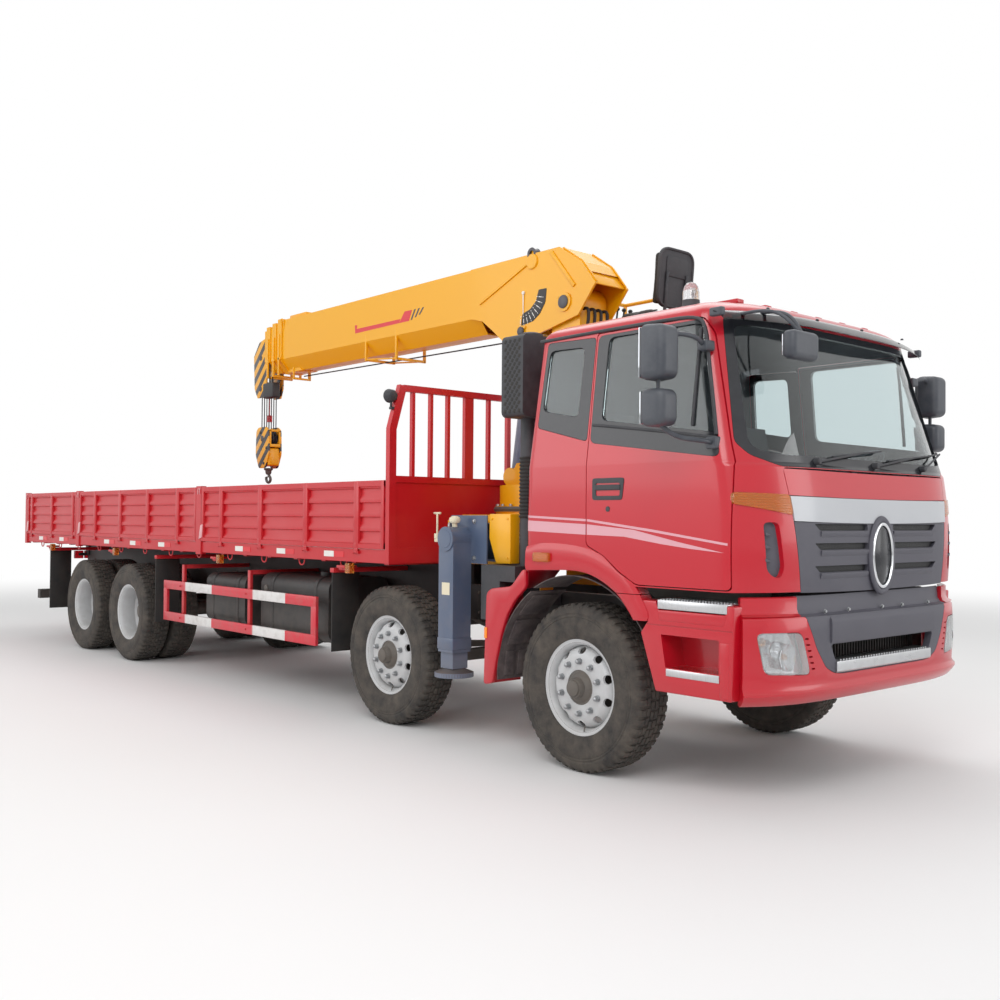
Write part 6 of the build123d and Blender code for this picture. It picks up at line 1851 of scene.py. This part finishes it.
def puffed(piece, floor):      # a closed pad swelled by cloth, kept within a few millimetres and flat where it rests
    applyModifier(piece, "REMESH", mode="VOXEL", voxel_size=seat["voxel"])
    before = [vertex.co.copy() for vertex in piece.data.vertices]
    pickOnly(piece)
    bpy.ops.object.modifier_add(type="CLOTH")
    cloth = piece.modifiers[-1]
    cloth.settings.use_pressure = True
    cloth.settings.uniform_pressure_force = seat["pressure"]
    cloth.settings.effector_weights.gravity = 0
    for step in range(1, 21):
        bpy.context.scene.frame_set(step)
    bpy.ops.object.modifier_apply(modifier=cloth.name)
    bpy.context.scene.frame_set(1)
    for vertex, start in zip(piece.data.vertices, before):
        move = vertex.co - start
        if move.length > seat["cap"]:
            vertex.co = start + move.normalized() * seat["cap"]
        vertex.co = floor(vertex.co)
    outwards(piece)
    return piece


def leaned(point):
    return Vector((point.x + (point.z - seat["backFoot"]) * seat["lean"], point.y, point.z))


def leanBack(piece):
    for vertex in piece.data.vertices:
        vertex.co = leaned(vertex.co)
    return piece


def makeSeat():
    middle, slack = (seat["near"] + seat["far"]) / 2, 0.015
    base = boxBetween((seat["rear"] + slack, seat["near"] + slack, seat["low"]),
                      (seat["front"] - slack, seat["far"] - slack, seat["high"] - slack), 0.022, 3)
    base = puffed(base, lambda point: Vector((point.x, point.y, max(point.z, seat["low"]))))
    finished(base, "seatCushion", "seatVinyl", "slewing_column", 60)
    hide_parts("operator_seat")
    rest = boxBetween((-0.800, seat["near"] + 0.025, seat["backFoot"]),
                      (-0.738, seat["far"] - 0.025, seat["backTop"] - 0.02), 0.024, 3)
    rest = leanBack(puffed(rest, lambda point: Vector((min(point.x, at(-0.735)), point.y, point.z))))
    finished(rest, "seatBackCushion", "seatVinyl", "slewing_column", 60)
    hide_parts("operator_seat")
    seams = []
    for y in (middle - 0.10, middle + 0.10):
        seams.append(tube([(at(-1.11), y, 3.316), (at(-0.96), y, 3.326), (at(-0.80), y, 3.316)], 0.0035))
        seams.append(tube([leaned(Vector((at(-0.806), y, z))) for z in (3.40, 3.56, 3.74)], 0.0035))
    finished(seams, "seatPiping", "cloth", "slewing_column", 60)
    outline = softened([(seat["near"], 3.322), (seat["near"] - 0.002, 3.80), (seat["far"] + 0.002, 3.80),
                        (seat["far"], 3.322)], 0.12, 8)
    shell = leanBack(plate(outline, "x", at(-0.733), at(-0.712), 0.006, 3))
    rim = tube([leaned(Vector((at(-0.711), y, z))) for y, z in
                softened([(seat["near"] + 0.012, 3.334), (seat["near"] + 0.010, 3.788), (seat["far"] - 0.010, 3.788),
                          (seat["far"] - 0.012, 3.334)], 0.10, 6)], 0.011, cyclic=True)
    pocket = leanBack(plate(softened([(middle - 0.13, 3.57), (middle - 0.13, 3.73), (middle + 0.13, 3.73),
                                      (middle + 0.13, 3.57)], 0.03, 4), "x", at(-0.714), at(-0.703), 0.004, 2))
    pan = boxBetween((-1.148, seat["near"] - 0.01, 3.205), (-0.715, seat["far"] + 0.008, 3.237), 0.012, 3)
    spine = [rod((at(-0.715), middle + move, 3.222), leaned(Vector((at(-0.700), middle + move, 3.60))), 0.014, 14)
             for move in (-0.12, 0.12)]
    foot = turned([(3.0405, 0), (3.0405, 0.11), (3.050, 0.11), (3.056, 0.062), (3.205, 0.055), (3.205, 0)],
                  (at(-0.93), middle, 0), "z", 32)
    whole = finished([shell, rim, pocket, pan, *spine, foot], "seatShell", "blackPlastic", "slewing_column",
                     50)
    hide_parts("operator_seat")
    levers = []
    for k in range(4):
        footing = Vector((at(-1.32), 0.52 + k * 0.08, 3.04))
        levers.append(rod(footing, footing + Vector((0.05, 0, 0.34)), 0.008, 10))
        levers.append(turned([(0, 0), (0.006, 0.015), (0.02, 0.02), (0.032, 0.014), (0.036, 0)],
                             footing + Vector((0.05, 0, 0.335)), "z", 18))
    box = boxBetween((-1.38, 0.48, 3.0402), (-1.26, 0.80, 3.15), 0.010, 3)
    finished([*levers, box], "seatControls", "frameBlack", "slewing_column")


# air intake: a cap whose diamond openings are dark diamonds laid on its face, painted shade in place of holes, and
# bellows round the pipe below it

intake = {"rear": -0.800, "front": -0.580, "near": -0.760, "far": -1.110, "low": 2.330, "high": 2.900,
          "rings": 17, "pitch": 0.026, "foot": 1.625, "rows": 19, "rowStep": 0.027, "ribs": 9, "ribStep": 0.056}


def makeIntake():
    openingShades, ribs = [], []
    # each diamond opening is a thin dark rubber plate on the cap's side: painted shade for the hole
    for row in range(intake["rows"]):
        z = intake["low"] + 0.040 + row * intake["rowStep"]
        for column in range(4 - row % 2):
            x = intake["rear"] + 0.039 + column * 0.047 + (0.0235 if row % 2 else 0.0)
            openingShades.append(sideSolid([(x - 0.018, z - 0.008), (x - 0.004, z + 0.016), (x + 0.018, z + 0.008),
                                       (x + 0.004, z - 0.016)],
                                      -1, -intake["far"] - 0.004, -intake["far"] + 0.0015, 0.0004))
    for row in range(intake["ribs"]):
        z = intake["low"] + 0.06 + row * intake["ribStep"]
        ribs.append(roundedBox((at(intake["rear"]) - 0.004, intake["far"] + 0.03, z),
                               (at(intake["rear"]) + 0.01, intake["near"] - 0.03, z + 0.016), 0.003))
    middle = (at((intake["rear"] + intake["front"]) / 2), (intake["near"] + intake["far"]) / 2, 0)
    ribs.append(turned([(intake["high"] - 0.01, 0.09), (intake["high"] + 0.02, 0.085), (intake["high"] + 0.032, 0.055),
                        (intake["high"] + 0.034, 0), (intake["high"] - 0.01, 0)], middle, "z", 32))
    folds = [(intake["foot"] + step * intake["pitch"] / 2, 0.069 if step % 2 else 0.0605)
             for step in range(2 * intake["rings"])]
    bellows = turned([(1.62, 0.050), *folds, (intake["foot"] + intake["rings"] * intake["pitch"], 0.050)],
                     (at(-0.74), -0.90, 0), "z", 36)
    finished(bellows, "intakeBellows", "hose", "chassis", 50)
    finished(openingShades, "intakeOpeningShade", "hose", "chassis", 40)
    finished(ribs, "intakeCap", "blackPlastic", "chassis", 40)


# chassis: straps round the tanks, drain plugs, bolts along the frame

tankDetail = {"front": (-3.03, -4.55, -3.10, -4.20), "rear": (-4.20, -5.36, -3.90, -5.30),
              "low": (0.530, 0.560, 0.600, 0.560), "high": (1.100, 1.050, 1.050, 1.050),
              "outer": (1.100, 1.080, 1.080, 1.060), "side": (-1, -1, 1, 1), "corner": (0.110, 0.090, 0.040, 0.090),
              "inner": 0.470, "strap": 0.022, "proud": 0.004, "boltStep": 0.46, "bolts": 24}


def makeChassisDetails():
    straps, plugs, heads = [], [], []
    for k in range(4):
        side, outer = tankDetail["side"][k], tankDetail["outer"][k]
        low, high = tankDetail["low"][k], tankDetail["high"][k]
        front, rear = tankDetail["front"][k], tankDetail["rear"][k]
        spare = tankDetail["proud"]
        near, far = side * (tankDetail["inner"] + 0.01), side * (outer + spare)
        outline = softened([(near, low - spare), (near, high + spare), (far, high + spare), (far, low - spare)],
                           tankDetail["corner"][k], 8)
        for share in (0.18, 0.82):
            x = at(rear + share * (front - rear))
            straps.append(plate(outline, "x", x - tankDetail["strap"], x + tankDetail["strap"], 0.0015, 1))
        plugs.append(turned([(low - 0.022, 0), (low - 0.022, 0.016), (low + 0.004, 0.018), (low + 0.004, 0)],
                            (at((front + rear) / 2), side * 0.80, 0), "z", 6))
        plugs.append(turned([(-0.002, 0), (-0.002, 0.032), (0.010, 0.030), (0.014, 0.014), (0.014, 0)],
                            (at(rear + 0.10), side * outer, high - 0.14), (0, side, 0), 24))
    finished(straps, "tankStraps", "frameBlack", "chassis", 50)
    finished(plugs, "tankPlugs", "castIron", "chassis", 40)
    for side in (-1, 1):
        for k in range(tankDetail["bolts"]):
            x = at(-10.1 + k * tankDetail["boltStep"])
            heads.append(boltRow([(x, side * 0.4305, z) for z in (0.86, 1.02)], "y", 0.011, side * 0.010))
    finished(heads, "frameBolts", "castIron", "chassis")


makeSeat()
makeIntake()
makeChassisDetails()
print("stage: seat, intake and chassis details made")

for sheet in layers.values():
    bpy.data.objects.remove(sheet)
print("stage: cab layers put away")
